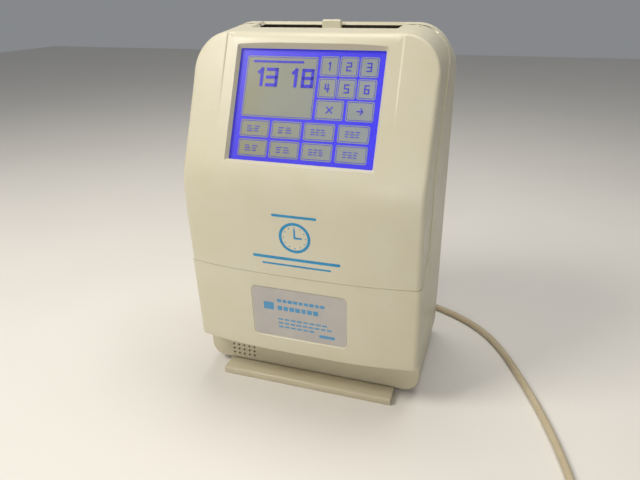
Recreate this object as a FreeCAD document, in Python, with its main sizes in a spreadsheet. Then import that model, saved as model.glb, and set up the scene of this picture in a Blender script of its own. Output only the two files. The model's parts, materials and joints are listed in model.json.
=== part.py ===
import FreeCAD, Part
import math
import os
import re

import Sketcher
from FreeCAD import Placement, Rotation, Vector

# Punch time clock, millimetres. X is to the right, Y to the rear and Z up.
# The origin is on the table, under the middle of the housing.

SIZES = {
    # Housing
    "case_width": 205,
    "case_wall": 2.5,
    "rear_y": 75,
    "front_y": -75.8,
    "bulge_z": 197,
    "face_tilt": 24.5,
    "low_y": -67.1,
    "lip_z": 40.5,
    "base_y": -43,
    "base_z": 6,
    "brow_z": 308.9,
    "ridge_y": 34,
    "ridge_z": 315,
    "tail_z": 305,
    "bulge_round": 70,
    "corner_round": 30,
    "base_round": 13,
    "bow_width": 46,
    "bow_depth": 5.5,
    "rear_frame_side": 18,
    "rear_frame_low": 14.4,
    "rear_frame_top": 21.6,
    # Front cover and its hinge
    "seam_z": 121,
    "seam_gap": 0.35,
    "cover_depth": 42,
    "hinge_y": 20,
    "hinge_drop": 3.2,
    "knuckle_radius": 2.8,
    "hinge_pin_radius": 1.2,
    "hinge_in": 63.5,
    "hinge_clear": 4.1,
    "knuckle_length": 4.4,
    "running_gap": 0.05,
    "part_gap": 0.3,
    # Display
    "display_z": 256.4,
    "display_inset": 2.35,
    "window_width": 118,
    "window_height": 88.8,
    "bevel": 3.2,
    "bevel_depth": 4.6,
    "frame_rim": 8,
    "panel_thick": 1.2,
    "glass_thick": 3,
    "module_thick": 7,
    "display_board_thick": 1.6,
    "frame_reach": 16,
    "display_fit": 1,
    "stand_radius": 2.4,
    "stand_length": 2,
    "stand_inset": 8,
    # Card slot and card path
    "slot_width": 122,
    "slot_front_y": 1,
    "slot_rear_y": 33,
    "throat_low_z": 286,
    "throat_top_z": 309.4,
    "card_y": 25,
    "card_width": 88,
    "card_gap": 3,
    "guide_thick": 1.2,
    "guide_low_z": 60,
    "guide_tab_width": 16,
    "guide_tab_top": 316.6,
    "guide_tab_thick": 5,
    "guide_tab_round": 1.5,
    "throat_fit": 0.8,
    "throat_wall": 1.8,
    # Chassis
    "chassis_half": 64,
    "plate_thick": 1.5,
    "chassis_front_y": -30,
    "chassis_rear_y": 60,
    "floor_z": 26,
    "post_radius": 4,
    "post_inset": 10,
    "notch_depth": 34,
    "lightening_width": 37.5,
    "lightening_height": 90,
    # Feed and pinch rollers
    "feed_z": 262,
    "feed_radius": 8,
    "pinch_radius": 6,
    "roller_length": 14,
    "roller_x": 28,
    "shaft_radius": 2.5,
    "bush_radius": 4.5,
    "gear_module": 1,
    "feed_teeth": 32,
    "pinion_teeth": 12,
    "gear_width": 5,
    "gear_x": 69,
    "motor_angle": -30,
    "feed_motor_radius": 12,
    "feed_motor_length": 30,
    "nip_gap": 0.3,
    "shaft_end": 2,
    "roller_window": 20,
    # Printer
    "print_z": 232,
    "print_window": 17,
    "rod_y": -8,
    "rod_low_z": 196,
    "rod_high_z": 220,
    "rod_radius": 3,
    "screw_y": -4,
    "screw_z": 208,
    "screw_radius": 2.8,
    "carriage_half": 15,
    "carriage_wall": 8,
    "carriage_depth": 21,
    "head_width": 22,
    "head_height": 24,
    "nose_length": 5.2,
    "nose_root_radius": 6,
    "nose_tip_radius": 2.6,
    "platen_height": 11,
    "platen_depth": 4.5,
    "carriage_motor_radius": 11,
    "carriage_motor_length": 26,
    "cassette_front_y": -31,
    "cassette_thick": 12,
    "cassette_low_z": 190,
    "cassette_top_z": 242,
    "cassette_arm": 6,
    "arm_gap": 3,
    "cassette_arm_height": 14,
    "ribbon_height": 10,
    "ribbon_rise": 3,
    "knob_thick": 4,
    "knob_radius": 7,
    "knob_x": -48,
    "knob_z": 202,
    # Electrics
    "board_y": 67,
    "board_thick": 1.6,
    "board_half": 80,
    "board_low_z": 52,
    "board_top_z": 228,
    "chip_thick": 2.2,
    "socket_z": 205,
    "socket_depth": 5,
    "socket_height": 7,
    "pillar_radius": 2.6,
    "pillar_inset": 5,
    "transformer_x": 77.5,
    "transformer_width": 23,
    "core_front_y": -6,
    "core_depth": 46,
    "core_height": 38,
    "winding_depth": 26,
    "winding_height": 46,
    "supply_board_y": 50,
    "supply_board_height": 70,
    "battery_x": -75,
    "battery_front_y": -24,
    "battery_radius": 7,
    "battery_length": 44,
    "speaker_x": -68,
    "speaker_z": 20,
    "speaker_radius": 11,
    "speaker_magnet_radius": 6.6,
    "speaker_ring_thick": 3,
    "speaker_magnet_thick": 7,
    "sensor_width": 16,
    "sensor_depth": 3,
    "sensor_height": 10,
    "sensor_z": 198,
    "grille_hole_radius": 1.1,
    "grille_step_x": 5.4,
    "grille_step_z": 4.8,
    "grille_x": -68,
    "grille_z": 17,
    # Foot bar, feet, label
    "bar_width": 163,
    "bar_front_y": -61.2,
    "bar_rear_y": -43.6,
    "bar_thick": 7.3,
    "bar_round": 2,
    "tongue_width": 90,
    "tongue_rear_y": 6,
    "tongue_thick": 3,
    "foot_radius": 8,
    "foot_x": 78,
    "foot_y": 52,
    "label_width": 86,
    "label_height": 50.6,
    "label_low_z": 57,
    "label_thick": 0.8,
    "label_depth": 1,
    "label_fit": 0.3,
    # Rear plate and wall holes
    "back_plate_thick": 1.5,
    "plate_lap": 9,
    "wall_hole_radius": 2.5,
    "wall_hole_half_x": 60,
    "wall_hole_low_z": 40,
    "wall_hole_high_z": 250,
    "screw_head_radius": 3,
    "screw_head_height": 2,
    "screw_shank_radius": 1.4,
    "screw_shank_length": 5,
    "screw_sink_gap": 0.2,
    "screw_inset": 9.6,
    # Mains cord
    "cord_radius": 3.2,
    "cord_exit_x": -20,
    "cord_exit_z": 20,
    "relief_length": 20,
    "relief_radius": 5.6,
    "relief_collar_inside": 3,
    "relief_flare": 1,
    "relief_wall": 0.6,
    "coil_fit": 0.1,
    "coil_x": 190,
    "coil_y": -192,
    "coil_inner": 29,
    "coil_outer": 42,
    "coil_height": 12.9,
    "coil_lead": 26,
    "plug_neck_length": 22,
    "plug_neck_radius": 7,
    "plug_length": 26,
    "plug_width": 24,
    "plug_height": 19.2,
    "blade_length": 17,
    "blade_thick": 1.5,
    "blade_width": 6.3,
    "blade_pitch": 12.7,
}

# Hand-chosen route of the cord, from the strain relief to the coil's lead-in.
ROUTE = [
    (-20, 95, 20),
    (-20, 115, 20),
    (-10, 135.5, 15),
    (9, 148, 8),
    (40, 147, 3.5),
    (88, 124.5, 3.3),
    (128, 104, 3.3),
    (155, 80.5, 3.3),
    (175, 49, 3.3),
    (192, 9, 3.3),
    (207, -31, 3.3),
    (219, -70, 3.3),
    (228, -108, 3.3),
    (232, -140, 3.3),
    (232, -166, 3.3),
]

# Chips on the main board, as left edge, lower edge, width and height, and sockets, as left edge and width.
CHIPS = [(-52, 120, 24, 24), (-10, 120, 20, 20), (28, 150, 14, 30), (28, 90, 14, 30), (-52, 80, 40, 10)]
SOCKETS = [(-70, 34), (-20, 26), (30, 40)]

doc = FreeCAD.newDocument("punch_time_clock")
sheet = doc.addObject("Spreadsheet::Sheet", "sizes")
NODES = []


def fill_sheet():
    for row, (alias, size) in enumerate(SIZES.items(), start=1):
        sheet.set(f"A{row}", alias)
        sheet.set(f"B{row}", str(size))
        sheet.setAlias(f"B{row}", alias)
    doc.recompute()


def size(alias):
    return float(sheet.get(alias))


def formula(text):
    """A formula in the sheet's aliases, with the sheet's name put before each."""
    words = r"[a-z][a-z_]*"
    return re.sub(words, lambda m: f"sizes.{m[0]}" if m[0] in SIZES else m[0], str(text))


def bind(item, prop, text):
    item.setExpression(prop, formula(text))


def place(item, at):
    for axis, text in zip("xyz", at):
        bind(item, f"Placement.Base.{axis}", text)


def node(item, label):
    item.Label = label
    NODES.append(item)
    return item


# Primitives and booleans


def box(name, dims, at):
    made = doc.addObject("Part::Box", name)
    for prop, text in zip(("Length", "Width", "Height"), dims):
        bind(made, prop, text)
    place(made, at)
    return made


TURNS = {
    "x": Rotation(Vector(0, 1, 0), 90),
    "-x": Rotation(Vector(0, 1, 0), -90),
    "y": Rotation(Vector(1, 0, 0), -90),
    "-y": Rotation(Vector(1, 0, 0), 90),
    "z": Rotation(),
}


def rod(name, radius, length, at, axis="x"):
    made = doc.addObject("Part::Cylinder", name)
    made.Placement = Placement(Vector(), TURNS[axis])
    bind(made, "Radius", radius)
    bind(made, "Height", length)
    place(made, at)
    return made


def cone(name, radius_a, radius_b, length, at, axis="y"):
    made = doc.addObject("Part::Cone", name)
    made.Placement = Placement(Vector(), TURNS[axis])
    bind(made, "Radius1", radius_a)
    bind(made, "Radius2", radius_b)
    bind(made, "Height", length)
    place(made, at)
    return made


def fuse(name, *parts):
    made = doc.addObject("Part::MultiFuse", name)
    made.Shapes = list(parts)
    return made


def group(name, *parts):
    made = doc.addObject("Part::Compound", name)
    made.Links = list(parts)
    return made


def cut(name, base, *tools):
    made = doc.addObject("Part::Cut", name)
    made.Base = base
    made.Tool = tools[0] if len(tools) == 1 else fuse(f"{name}_tools", *tools)
    return made


def common(name, base, tool):
    made = doc.addObject("Part::Common", name)
    made.Base = base
    made.Tool = tool
    return made


# Sketched bodies


def origin_plane(body, role):
    return next(item for item in body.Origin.OriginFeatures if item.Role == role)


def outline(body, name, role, points):
    """A closed polygon whose corners are held from the sketch's origin by formulas."""
    sketch = body.newObject("Sketcher::SketchObject", name)
    sketch.AttachmentSupport = [(origin_plane(body, role), "")]
    sketch.MapMode = "FlatFace"
    count = len(points)
    turns = [2 * math.pi * i / count for i in range(count)]
    start = [Vector(10 * math.cos(a), 10 * math.sin(a), 0) for a in turns]
    for i in range(count):
        sketch.addGeometry(Part.LineSegment(start[i], start[(i + 1) % count]))
    for i in range(count):
        sketch.addConstraint(Sketcher.Constraint("Coincident", i, 2, (i + 1) % count, 1))
    for i, point in enumerate(points):
        for kind, value in zip(("DistanceX", "DistanceY"), point):
            index = sketch.addConstraint(
                Sketcher.Constraint(kind, -1, 1, i, 1, start[i].x if kind == "DistanceX" else start[i].y)
            )
            sketch.renameConstraint(index, f"{kind[-1].lower()}{i}")
            bind(sketch, f"Constraints.{kind[-1].lower()}{i}", value)
    return sketch


def pad(body, name, sketch, length):
    made = body.newObject("PartDesign::Pad", name)
    made.Profile = sketch
    made.Midplane = True
    bind(made, "Length", length)
    doc.recompute()
    return made


def edges_at(shape, spots, along):
    """Names of the straight edges along one axis that pass through the given (y, z) spots."""
    names = []
    for index, edge in enumerate(shape.Edges, start=1):
        if edge.Curve.TypeId != "Part::GeomLine":
            continue
        if abs(abs(edge.tangentAt(edge.FirstParameter).dot(along)) - 1) > 1e-6:
            continue
        middle = edge.CenterOfMass
        if any(math.hypot(middle.y - y, middle.z - z) < 0.05 for y, z in spots):
            names.append(f"Edge{index}")
    return names


def dress(body, kind, name, edges, **values):
    made = body.newObject(f"PartDesign::{kind}", name)
    made.Base = (body.Tip if body.Tip != made else made.BaseFeature, edges)
    for prop, text in values.items():
        bind(made, prop, text)
    doc.recompute()
    return made


# Housing blocks: the outer form and the space inside it

TILT_RUN = "(brow_z - bulge_z) * tan(face_tilt)"


def flank_edges(shape, half):
    """Names of the front face's edges at the flanks, where the face bows back."""
    names = []
    for index, edge in enumerate(shape.Edges, start=1):
        bounds = edge.BoundBox
        at_flank = bounds.XLength < 1e-3 and abs(abs(bounds.XMax) - half) < 1e-3
        if at_flank and bounds.YMax < 0 and bounds.ZMax > size("seam_z"):
            names.append(f"Edge{index}")
    return names


def profile_block(name, inset):
    """The housing's side profile, padded across, with its bulge rounded and its flanks bowed."""
    body = doc.addObject("PartDesign::Body", name)
    side = outline(body, f"{name}_side", "YZ_Plane", [
        (f"base_y + {inset}", f"base_z + {inset}"),
        (f"base_y + {inset}", f"lip_z + {inset}"),
        (f"low_y + {inset}", f"lip_z + {inset}"),
        (f"front_y + {inset}", "bulge_z"),
        (f"front_y + {TILT_RUN} + {inset}", f"brow_z - {inset}"),
        ("ridge_y", f"ridge_z - {inset}"),
        (f"rear_y - {inset}", f"tail_z - {inset}"),
        (f"rear_y - {inset}", f"base_z + {inset}"),
    ])
    pad(body, f"{name}_pad", side, f"case_width - 2 * {inset}")
    wall = size(inset) if inset in SIZES else 0
    bulge = edges_at(body.Shape, [(size("front_y") + wall, size("bulge_z"))], Vector(1, 0, 0))
    rounded = dress(body, "Fillet", f"{name}_bulge", bulge, Radius="bulge_round")
    bow = body.newObject("PartDesign::Chamfer", f"{name}_bow")
    bow.Base = (rounded, flank_edges(rounded.Shape, size("case_width") / 2 - wall))
    bow.ChamferType = "Two distances"
    bow.FlipDirection = True
    bind(bow, "Size", "bow_depth")
    bind(bow, "Size2", "bow_width")
    doc.recompute()
    return body


def round_edges(name, base, radius, pick):
    """A Part fillet of one radius on the edges that pick chooses."""
    doc.recompute()
    made = doc.addObject("Part::Fillet", name)
    made.Base = base
    chosen = [i for i, edge in enumerate(base.Shape.Edges, start=1) if pick(edge)]
    made.Edges = [(i, size(radius), size(radius)) for i in chosen]
    return made


def along_y(edge):
    return edge.BoundBox.YLength > 1 and edge.BoundBox.XLength < 1e-3 and edge.BoundBox.ZLength < 1e-3


def front_prism(name, inset):
    """The housing's outline from the front: large round corners at the top, small ones below."""
    block = box(f"{name}_block", (f"case_width - 2 * {inset}", 400, f"ridge_z - base_z - 2 * {inset}"),
                (f"-case_width / 2 + {inset}", -200, f"base_z + {inset}"))
    wall = size(inset) if inset in SIZES else 0
    middle = (size("ridge_z") + size("base_z")) / 2
    doc.recompute()
    made = doc.addObject("Part::Fillet", name)
    made.Base = block
    radii = {}
    for i, edge in enumerate(block.Shape.Edges, start=1):
        if along_y(edge):
            above = edge.CenterOfMass.z > middle
            radii[i] = size("corner_round" if above else "base_round") - wall
    made.Edges = [(i, radius, radius) for i, radius in radii.items()]
    return made


def housing_block(name, inset):
    return common(name, profile_block(f"{name}_profile", inset), front_prism(f"{name}_prism", inset))


def cover_zone(name, gap):
    """The space the front cover takes, bounded behind and below by its seam."""
    body = doc.addObject("PartDesign::Body", name)
    low_y = f"low_y + cover_depth + {gap}"
    side = outline(body, f"{name}_side", "YZ_Plane", [
        (-150, f"seam_z - {gap}"),
        (f"{low_y} - 34", f"seam_z - {gap}"),
        (f"{low_y} - 16", f"seam_z + 3 - {gap}"),
        (f"{low_y} - 5", f"seam_z + 14 - {gap}"),
        (low_y, f"seam_z + 32 - {gap}"),
        (low_y, f"bulge_z + 4 - {gap}"),
        (f"hinge_y + {gap}", f"brow_z - 12 - {gap}"),
        (f"hinge_y + {gap}", 360),
        (-150, 360),
    ])
    pad(body, f"{name}_pad", side, "case_width + 20")
    return body


def hinge_z():
    return "brow_z + (ridge_z - brow_z) * (hinge_y - front_y - " + TILT_RUN + ") / (ridge_y - front_y - " \
        + TILT_RUN + ") - hinge_drop"


def knuckles(name, spots, radius, grow=0):
    """Short barrels on the hinge line; each spot is how many knuckle lengths it lies out from the slot."""
    made = []
    for side in (-1, 1):
        for spot in spots:
            reach = f"(hinge_in + {spot} * (knuckle_length + part_gap) - {grow})"
            start = reach if side > 0 else f"-{reach} - knuckle_length - 2 * {grow}"
            made.append(rod(f"{name}_{spot}_{'right' if side > 0 else 'left'}", radius,
                            f"knuckle_length + 2 * {grow}", (start, "hinge_y", hinge_z())))
    return made


def hinge_bore(name, radius):
    made = []
    for side in (-1, 1):
        start = "hinge_in - 2" if side > 0 else "-hinge_in - 3 * (knuckle_length + part_gap) - 2"
        made.append(rod(f"{name}_{'right' if side > 0 else 'left'}", radius,
                        "3 * (knuckle_length + part_gap) + 4", (start, "hinge_y", hinge_z())))
    return made


# Pieces on the tilted face are made flat, on the display's own axes, and then tilted

DISPLAY_Y = "front_y + (display_z - bulge_z) * tan(face_tilt) + (case_wall + display_inset) / cos(face_tilt)"


def tilt(item):
    item.Placement = Placement(Vector(), Rotation(Vector(1, 0, 0), 90 - size("face_tilt")))
    bind(item, "Placement.Rotation.Angle", "90 - face_tilt")
    place(item, (0, DISPLAY_Y, "display_z"))
    return item


def flat_box(name, width, height, low, high):
    """A box centred on the display, from one depth to another along the face's outward normal."""
    return box(name, (width, height, f"{high} - ({low})"), (f"-({width}) / 2", f"-({height}) / 2", low))


def bevel_block(name):
    """The tapered opening in front of the display."""
    made = doc.addObject("Part::Wedge", name)
    made.Placement = Placement(Vector(), Rotation(Vector(1, 0, 0), 90))
    half_w, half_h, depth = "window_width / 2", "window_height / 2", "bevel_depth"
    for prop, text in {
        "Xmin": f"-{half_w}", "Xmax": half_w, "Zmin": f"-{half_h}", "Zmax": half_h,
        "Ymin": 0, "Ymax": f"{depth} * 3",
        "X2min": f"-{half_w} - bevel * 3", "X2max": f"{half_w} + bevel * 3",
        "Z2min": f"-{half_h} - bevel * 3", "Z2max": f"{half_h} + bevel * 3",
    }.items():
        bind(made, prop, text)
    return made


# The label is made flat, on the lower front's own axes, and then leant to lie along that face

LOW_SLOPE = "(low_y - front_y) / (bulge_z - lip_z)"


def lean(item):
    item.Placement = Placement(Vector(), Rotation(Vector(1, 0, 0), 3))
    bind(item, "Placement.Rotation.Angle", f"atan({LOW_SLOPE})")
    place(item, (0, f"low_y - (label_low_z - lip_z) * {LOW_SLOPE}", "label_low_z"))
    return item


def grille_holes():
    made = []
    for column in range(5):
        for row in range(3):
            spot = (f"grille_x + {column - 2} * grille_step_x", "base_y - 3",
                    f"grille_z + {row - 1} * grille_step_z")
            made.append(rod(f"grille_hole_{column}_{row}", "grille_hole_radius", "case_wall + 6", spot, "y"))
    return made


def back_screw_spots():
    """Places of the back plate's screws, as (x, z), in the frame round the rear opening."""
    low, high = "base_z + rear_frame_low", "tail_z - rear_frame_top"
    across = "(case_width / 2 - rear_frame_side + plate_lap / 2)"
    return [(f"{side}{across}", z) for side in ("-", "")
            for z in (f"{low} + screw_inset", f"({low} + {high}) / 2", f"{high} - screw_inset")]


def housing():
    outer = housing_block("outer_form", "0")
    inner = housing_block("inner_space", "case_wall")
    shell = cut("shell", outer, inner)

    slot = box("slot_opening", ("slot_width", "slot_rear_y - slot_front_y", 40),
               ("-slot_width / 2", "slot_front_y", "throat_low_z"))
    rear_opening = box("rear_opening",
                       ("case_width - 2 * rear_frame_side", 20,
                        "tail_z - rear_frame_top - base_z - rear_frame_low"),
                       ("-case_width / 2 + rear_frame_side", "rear_y - 10", "base_z + rear_frame_low"))
    recess = box("recess_box", ("label_width", "30 + label_depth", "label_height"),
                 ("-label_width / 2", -30, 0))
    cord_hole = rod("cord_hole", "relief_radius + running_gap", 20,
                    ("cord_exit_x", "rear_y - 10", "cord_exit_z"), "y")
    hinge_room = rod("cover_clear", "hinge_clear", "case_width + 10",
                     ("-case_width / 2 - 5", "hinge_y", hinge_z()))
    screw_room = []
    for i, (x, z) in enumerate(back_screw_spots()):
        screw_room.append(rod(f"back_screw_hole_{i}", "screw_shank_radius", 12, (x, "rear_y - 8", z), "y"))
        screw_room.append(rod(f"back_screw_sink_{i}", "screw_head_radius + screw_sink_gap", 8,
                              (x, "rear_y - screw_head_height", z), "y"))
    case_keep = cut("case_keep", shell, cover_zone("case_seam", "seam_gap"), slot, rear_opening,
                    lean(group("label_recess", recess)), cord_hole, hinge_room, *screw_room,
                    *grille_holes())
    case_webs = [box(f"case_web_{i}", ("knuckle_length", "knuckle_radius + 4", "knuckle_radius"),
                     (start, "hinge_y + hinge_pin_radius + 0.4", f"{hinge_z()} - 0.2"))
                 for i, start in enumerate(("hinge_in + knuckle_length + part_gap",
                                            "-hinge_in - 2 * knuckle_length - part_gap"))]
    case_whole = fuse("case_whole", case_keep, *knuckles("case_knuckle", (1,), "knuckle_radius"), *case_webs)
    node(cut("main_case_solid", case_whole, *hinge_bore("case_bore", "hinge_pin_radius")), "main_case")

    frame_box = flat_box("frame_box", "window_width + 2 * frame_rim", "window_height + 2 * frame_rim", 0,
                         "frame_reach")
    frame = common("frame_solid", tilt(group("frame_block", frame_box)), inner)
    cover_keep = cut("cover_keep", common("cover_shell", shell, cover_zone("cover_seam", "0")), slot,
                     *knuckles("case_clear", (1,), "hinge_clear + part_gap", "part_gap"))
    cover_webs = [box(f"cover_web_{i}", ("knuckle_length", "knuckle_radius + 4", "knuckle_radius"),
                      (start, "hinge_y - hinge_pin_radius - knuckle_radius - 4.4", f"{hinge_z()} - 0.2"))
                  for i, start in enumerate((
                      "hinge_in", "hinge_in + 2 * (knuckle_length + part_gap)",
                      "-hinge_in - knuckle_length", "-hinge_in - 3 * knuckle_length - 2 * part_gap"))]
    opening = tilt(group("window_opening", bevel_block("window_bevel")))
    cover_whole = fuse("cover_whole", cover_keep, frame, *knuckles("cover_knuckle", (0, 2), "knuckle_radius"),
                       *cover_webs)
    node(cut("front_cover_solid", cover_whole, opening,
             *hinge_bore("cover_bore", "hinge_pin_radius + running_gap")), "front_cover")
    node(group("hinge_pin_pair", *hinge_bore("hinge_pin", "hinge_pin_radius")), "hinge_pins")


def display():
    """The touch panel, display and its board, stacked behind the cover's window."""
    wide = "window_width + 2 * frame_rim - 2 * display_fit"
    tall = "window_height + 2 * frame_rim - 2 * display_fit"
    glass_back = "-panel_thick - glass_thick"
    module_back = f"{glass_back} - module_thick"
    board_front = f"{module_back} - stand_length"
    panel = flat_box("panel_sheet", wide, tall, "-panel_thick", "0")
    node(tilt(group("panel_place", panel)), "touch_panel")
    glass = flat_box("glass_sheet", f"{wide} - 4 * display_fit", f"{tall} - 4 * display_fit", glass_back,
                     "-panel_thick")
    node(tilt(group("glass_place", glass)), "lcd_glass")
    module = flat_box("module_can", wide, tall, module_back, glass_back)
    node(tilt(group("module_place", module)), "lcd_module")
    board = flat_box("driver_board", "window_width", "window_height - stand_inset / 2",
                     f"{board_front} - display_board_thick", board_front)
    node(tilt(group("board_place", board)), "display_board")
    spots = [(f"{sx} * (window_width / 2 - stand_inset)", f"{sy} * (window_height / 2 - stand_inset)")
             for sx in (-1, 1) for sy in (-1, 1)]
    stands = [rod(f"stand_{i}", "stand_radius", "stand_length", (x, y, board_front), "z")
              for i, (x, y) in enumerate(spots)]
    node(tilt(group("stand_place", *stands)), "display_standoffs")


def card_path():
    """The throat under the slot, the two guide plates and the tab that a card leans on."""
    low, high = "throat_low_z", "throat_top_z"
    body = box("throat_block",
               ("slot_width - 2 * throat_fit", "slot_rear_y - slot_front_y - 2 * throat_fit",
                f"{high} - {low}"),
               ("-slot_width / 2 + throat_fit", "slot_front_y + throat_fit", low))
    funnel = doc.addObject("Part::Wedge", "throat_funnel")
    funnel.Placement = Placement(Vector(), Rotation(Vector(1, 0, 0), 90))
    rise = f"({high} - {low} + 4)"
    for prop, text in {
        "Xmin": "-card_width / 2 - 3", "Xmax": "card_width / 2 + 3",
        "Zmin": "-card_y - card_gap / 2", "Zmax": "-card_y + card_gap / 2",
        "Ymin": 0, "Ymax": rise,
        "X2min": "-slot_width / 2 + throat_fit + throat_wall",
        "X2max": "slot_width / 2 - throat_fit - throat_wall",
        "Z2min": "-slot_rear_y + throat_fit + throat_wall + 1.4",
        "Z2max": "-slot_front_y - throat_fit - throat_wall + 0.2",
    }.items():
        bind(funnel, prop, text)
    place(funnel, (0, 0, f"{low} - 2"))
    node(cut("card_throat_solid", body, funnel), "card_throat")

    tab = box("tab_block", ("guide_tab_width", "guide_tab_thick", f"guide_tab_top - {high}"),
              ("-guide_tab_width / 2", "slot_rear_y - throat_fit - guide_tab_thick - 0.2", high))
    node(round_edges("card_tab_solid", tab, "guide_tab_round",
                     lambda e: e.BoundBox.ZMin > size("guide_tab_top") - 0.1), "card_tab")

    half = "chassis_half"
    for name, front in (("front_guide", "card_y - card_gap / 2 - guide_thick"),
                        ("rear_guide", "card_y + card_gap / 2")):
        plate = box(f"{name}_sheet", (f"2 * {half}", "guide_thick", f"{low} - guide_low_z"),
                    (f"-{half}", front, "guide_low_z"))
        windows = [box(f"{name}_roller_window_{i}", ("roller_length + 3", "guide_thick + 4", "roller_window"),
                       (f"{x} - roller_length / 2 - 1.5", f"{front} - 2", "feed_z - roller_window / 2"))
                   for i, x in enumerate(("-roller_x", "roller_x"))]
        windows.append(box(f"{name}_print_window", ("card_width + 16", "guide_thick + 4", "print_window"),
                           ("-card_width / 2 - 8", f"{front} - 2", "print_z - print_window / 2")))
        node(cut(f"{name}_solid", plate, *windows), name)


FEED_Y = "(card_y + nip_gap + feed_radius)"
PINCH_Y = "(card_y - nip_gap - pinch_radius)"


def side_plate(name, start):
    """One side of the chassis, with its bearing holes, a notch for the display and a lightening hole."""
    front = "chassis_front_y"
    sheet_part = box(f"{name}_sheet",
                     ("plate_thick", f"chassis_rear_y - {front}", "throat_low_z - floor_z - plate_thick"),
                     (start, front, "floor_z + plate_thick"))
    before = f"{start} - 3"
    bores = [("feed", "bush_radius", FEED_Y, "feed_z"), ("pinch", "bush_radius", PINCH_Y, "feed_z"),
             ("low_rod", "rod_radius", "rod_y", "rod_low_z"),
             ("high_rod", "rod_radius", "rod_y", "rod_high_z"),
             ("screw", "bush_radius", "screw_y", "screw_z")]
    if name.startswith("right"):
        bores.append(("motor", "shaft_radius + 2", *motor_spot()))
    holes = [rod(f"{name}_{bore}_hole", radius, "plate_thick + 6", (before, y, z))
             for bore, radius, y, z in bores]
    holes.append(box(f"{name}_display_notch", ("plate_thick + 6", "notch_depth + 6", 60),
                     (before, f"{front} - 6", "print_z + 8")))
    holes.append(box(f"{name}_lightening", ("plate_thick + 6", "lightening_width", "lightening_height"),
                     (before, f"{front} + 20", "floor_z + 34")))
    return node(cut(f"{name}_solid", sheet_part, *holes), name)


def chassis():
    side_plate("left_side_plate", "-chassis_half - plate_thick")
    side_plate("right_side_plate", "chassis_half")
    floor = box("chassis_floor_sheet",
                ("2 * chassis_half + 2 * plate_thick", "chassis_rear_y - chassis_front_y", "plate_thick"),
                ("-chassis_half - plate_thick", "chassis_front_y", "floor_z"))
    node(floor, "chassis_floor")
    inside = "(base_z + case_wall)"
    spots = [(f"{sx} * (chassis_half - post_inset + 2)", y) for sx in (-1, 1)
             for y in ("chassis_front_y + post_inset", "chassis_rear_y - post_inset")]
    posts = [rod(f"post_{i}", "post_radius", f"floor_z - {inside}", (x, y, inside), "z")
             for i, (x, y) in enumerate(spots)]
    node(group("post_group", *posts), "chassis_posts")


def motor_spot():
    reach = "(feed_teeth + pinion_teeth) * gear_module / 2"
    return f"{FEED_Y} + {reach} * cos(motor_angle)", f"feed_z + {reach} * sin(motor_angle)"


def gear_shape(teeth, bore, turn):
    """A spur gear with straight-sided teeth, drawn as one closed outline with a round bore."""
    module = size("gear_module")
    pitch = teeth * module / 2
    tip, root = pitch + 0.85 * module, pitch - 1.1 * module
    step = 2 * math.pi / teeth
    flank = ((root, 0.30), (pitch, 0.22), (tip, 0.10))
    corners = []
    for tooth in range(teeth):
        middle = tooth * step + turn
        for radius, offset in [(r, -part) for r, part in flank] + list(reversed(flank)):
            angle = middle + offset * step
            corners.append(Vector(0, radius * math.cos(angle), radius * math.sin(angle)))
    face = Part.Face(Part.makePolygon(corners + corners[:1]))
    solid = face.extrude(Vector(size("gear_width"), 0, 0))
    return solid.cut(Part.makeCylinder(bore, size("gear_width"), Vector(), Vector(1, 0, 0)))


def gear(label, teeth, bore, turn, at):
    made = doc.addObject("Part::Feature", f"{label}_solid")
    made.Shape = gear_shape(int(size(teeth)), size(bore), turn)
    place(made, at)
    return node(made, label)


def rollers():
    out = "(chassis_half + plate_thick)"
    node(rod("feed_shaft_solid", "shaft_radius", f"{out} + shaft_end + gear_x + gear_width + 1.5",
             (f"-{out} - shaft_end", FEED_Y, "feed_z")), "feed_shaft")
    node(rod("pinch_shaft_solid", "shaft_radius", f"2 * {out} + 2 * shaft_end",
             (f"-{out} - shaft_end", PINCH_Y, "feed_z")), "pinch_shaft")
    for name, radius, y in (("feed_rollers", "feed_radius", FEED_Y),
                            ("pinch_rollers", "pinch_radius", PINCH_Y)):
        rings = []
        for i, x in enumerate(("-roller_x", "roller_x")):
            start = (f"{x} - roller_length / 2", y, "feed_z")
            rings.append(cut(f"{name}_{i}", rod(f"{name}_rubber_{i}", radius, "roller_length", start),
                             rod(f"{name}_bore_{i}", "shaft_radius", "roller_length", start)))
        node(group(f"{name}_pair", *rings), name)
    bushes = []
    spots = [(x, y) for x in ("-chassis_half - plate_thick", "chassis_half") for y in (FEED_Y, PINCH_Y)]
    for i, (x, y) in enumerate(spots):
        start = (x, y, "feed_z")
        bushes.append(cut(f"bush_{i}", rod(f"bush_ring_{i}", "bush_radius", "plate_thick", start),
                          rod(f"bush_bore_{i}", "shaft_radius + running_gap", "plate_thick", start)))
    node(group("roller_bush_group", *bushes), "roller_bushes")

    angle = math.radians(size("motor_angle"))
    teeth = int(size("feed_teeth"))
    pinion_teeth = int(size("pinion_teeth"))
    feed_turn = angle % (2 * math.pi / teeth)
    pinion_turn = angle + math.pi + math.pi / pinion_teeth
    gear("feed_gear", "feed_teeth", "shaft_radius", feed_turn, ("gear_x", FEED_Y, "feed_z"))
    gear("motor_pinion", "pinion_teeth", "shaft_radius", pinion_turn, ("gear_x", *motor_spot()))
    node(rod("motor_shaft_solid", "shaft_radius", "gear_x + gear_width - chassis_half + 6",
             ("chassis_half - 6", *motor_spot())), "feed_motor_shaft")
    body = rod("feed_motor_can", "feed_motor_radius", "feed_motor_length",
               ("chassis_half - feed_motor_length", *motor_spot()))
    bore = rod("feed_motor_bore", "shaft_radius + running_gap", 9, ("chassis_half - 7", *motor_spot()))
    node(cut("feed_motor_solid", body, bore), "feed_motor")


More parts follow.
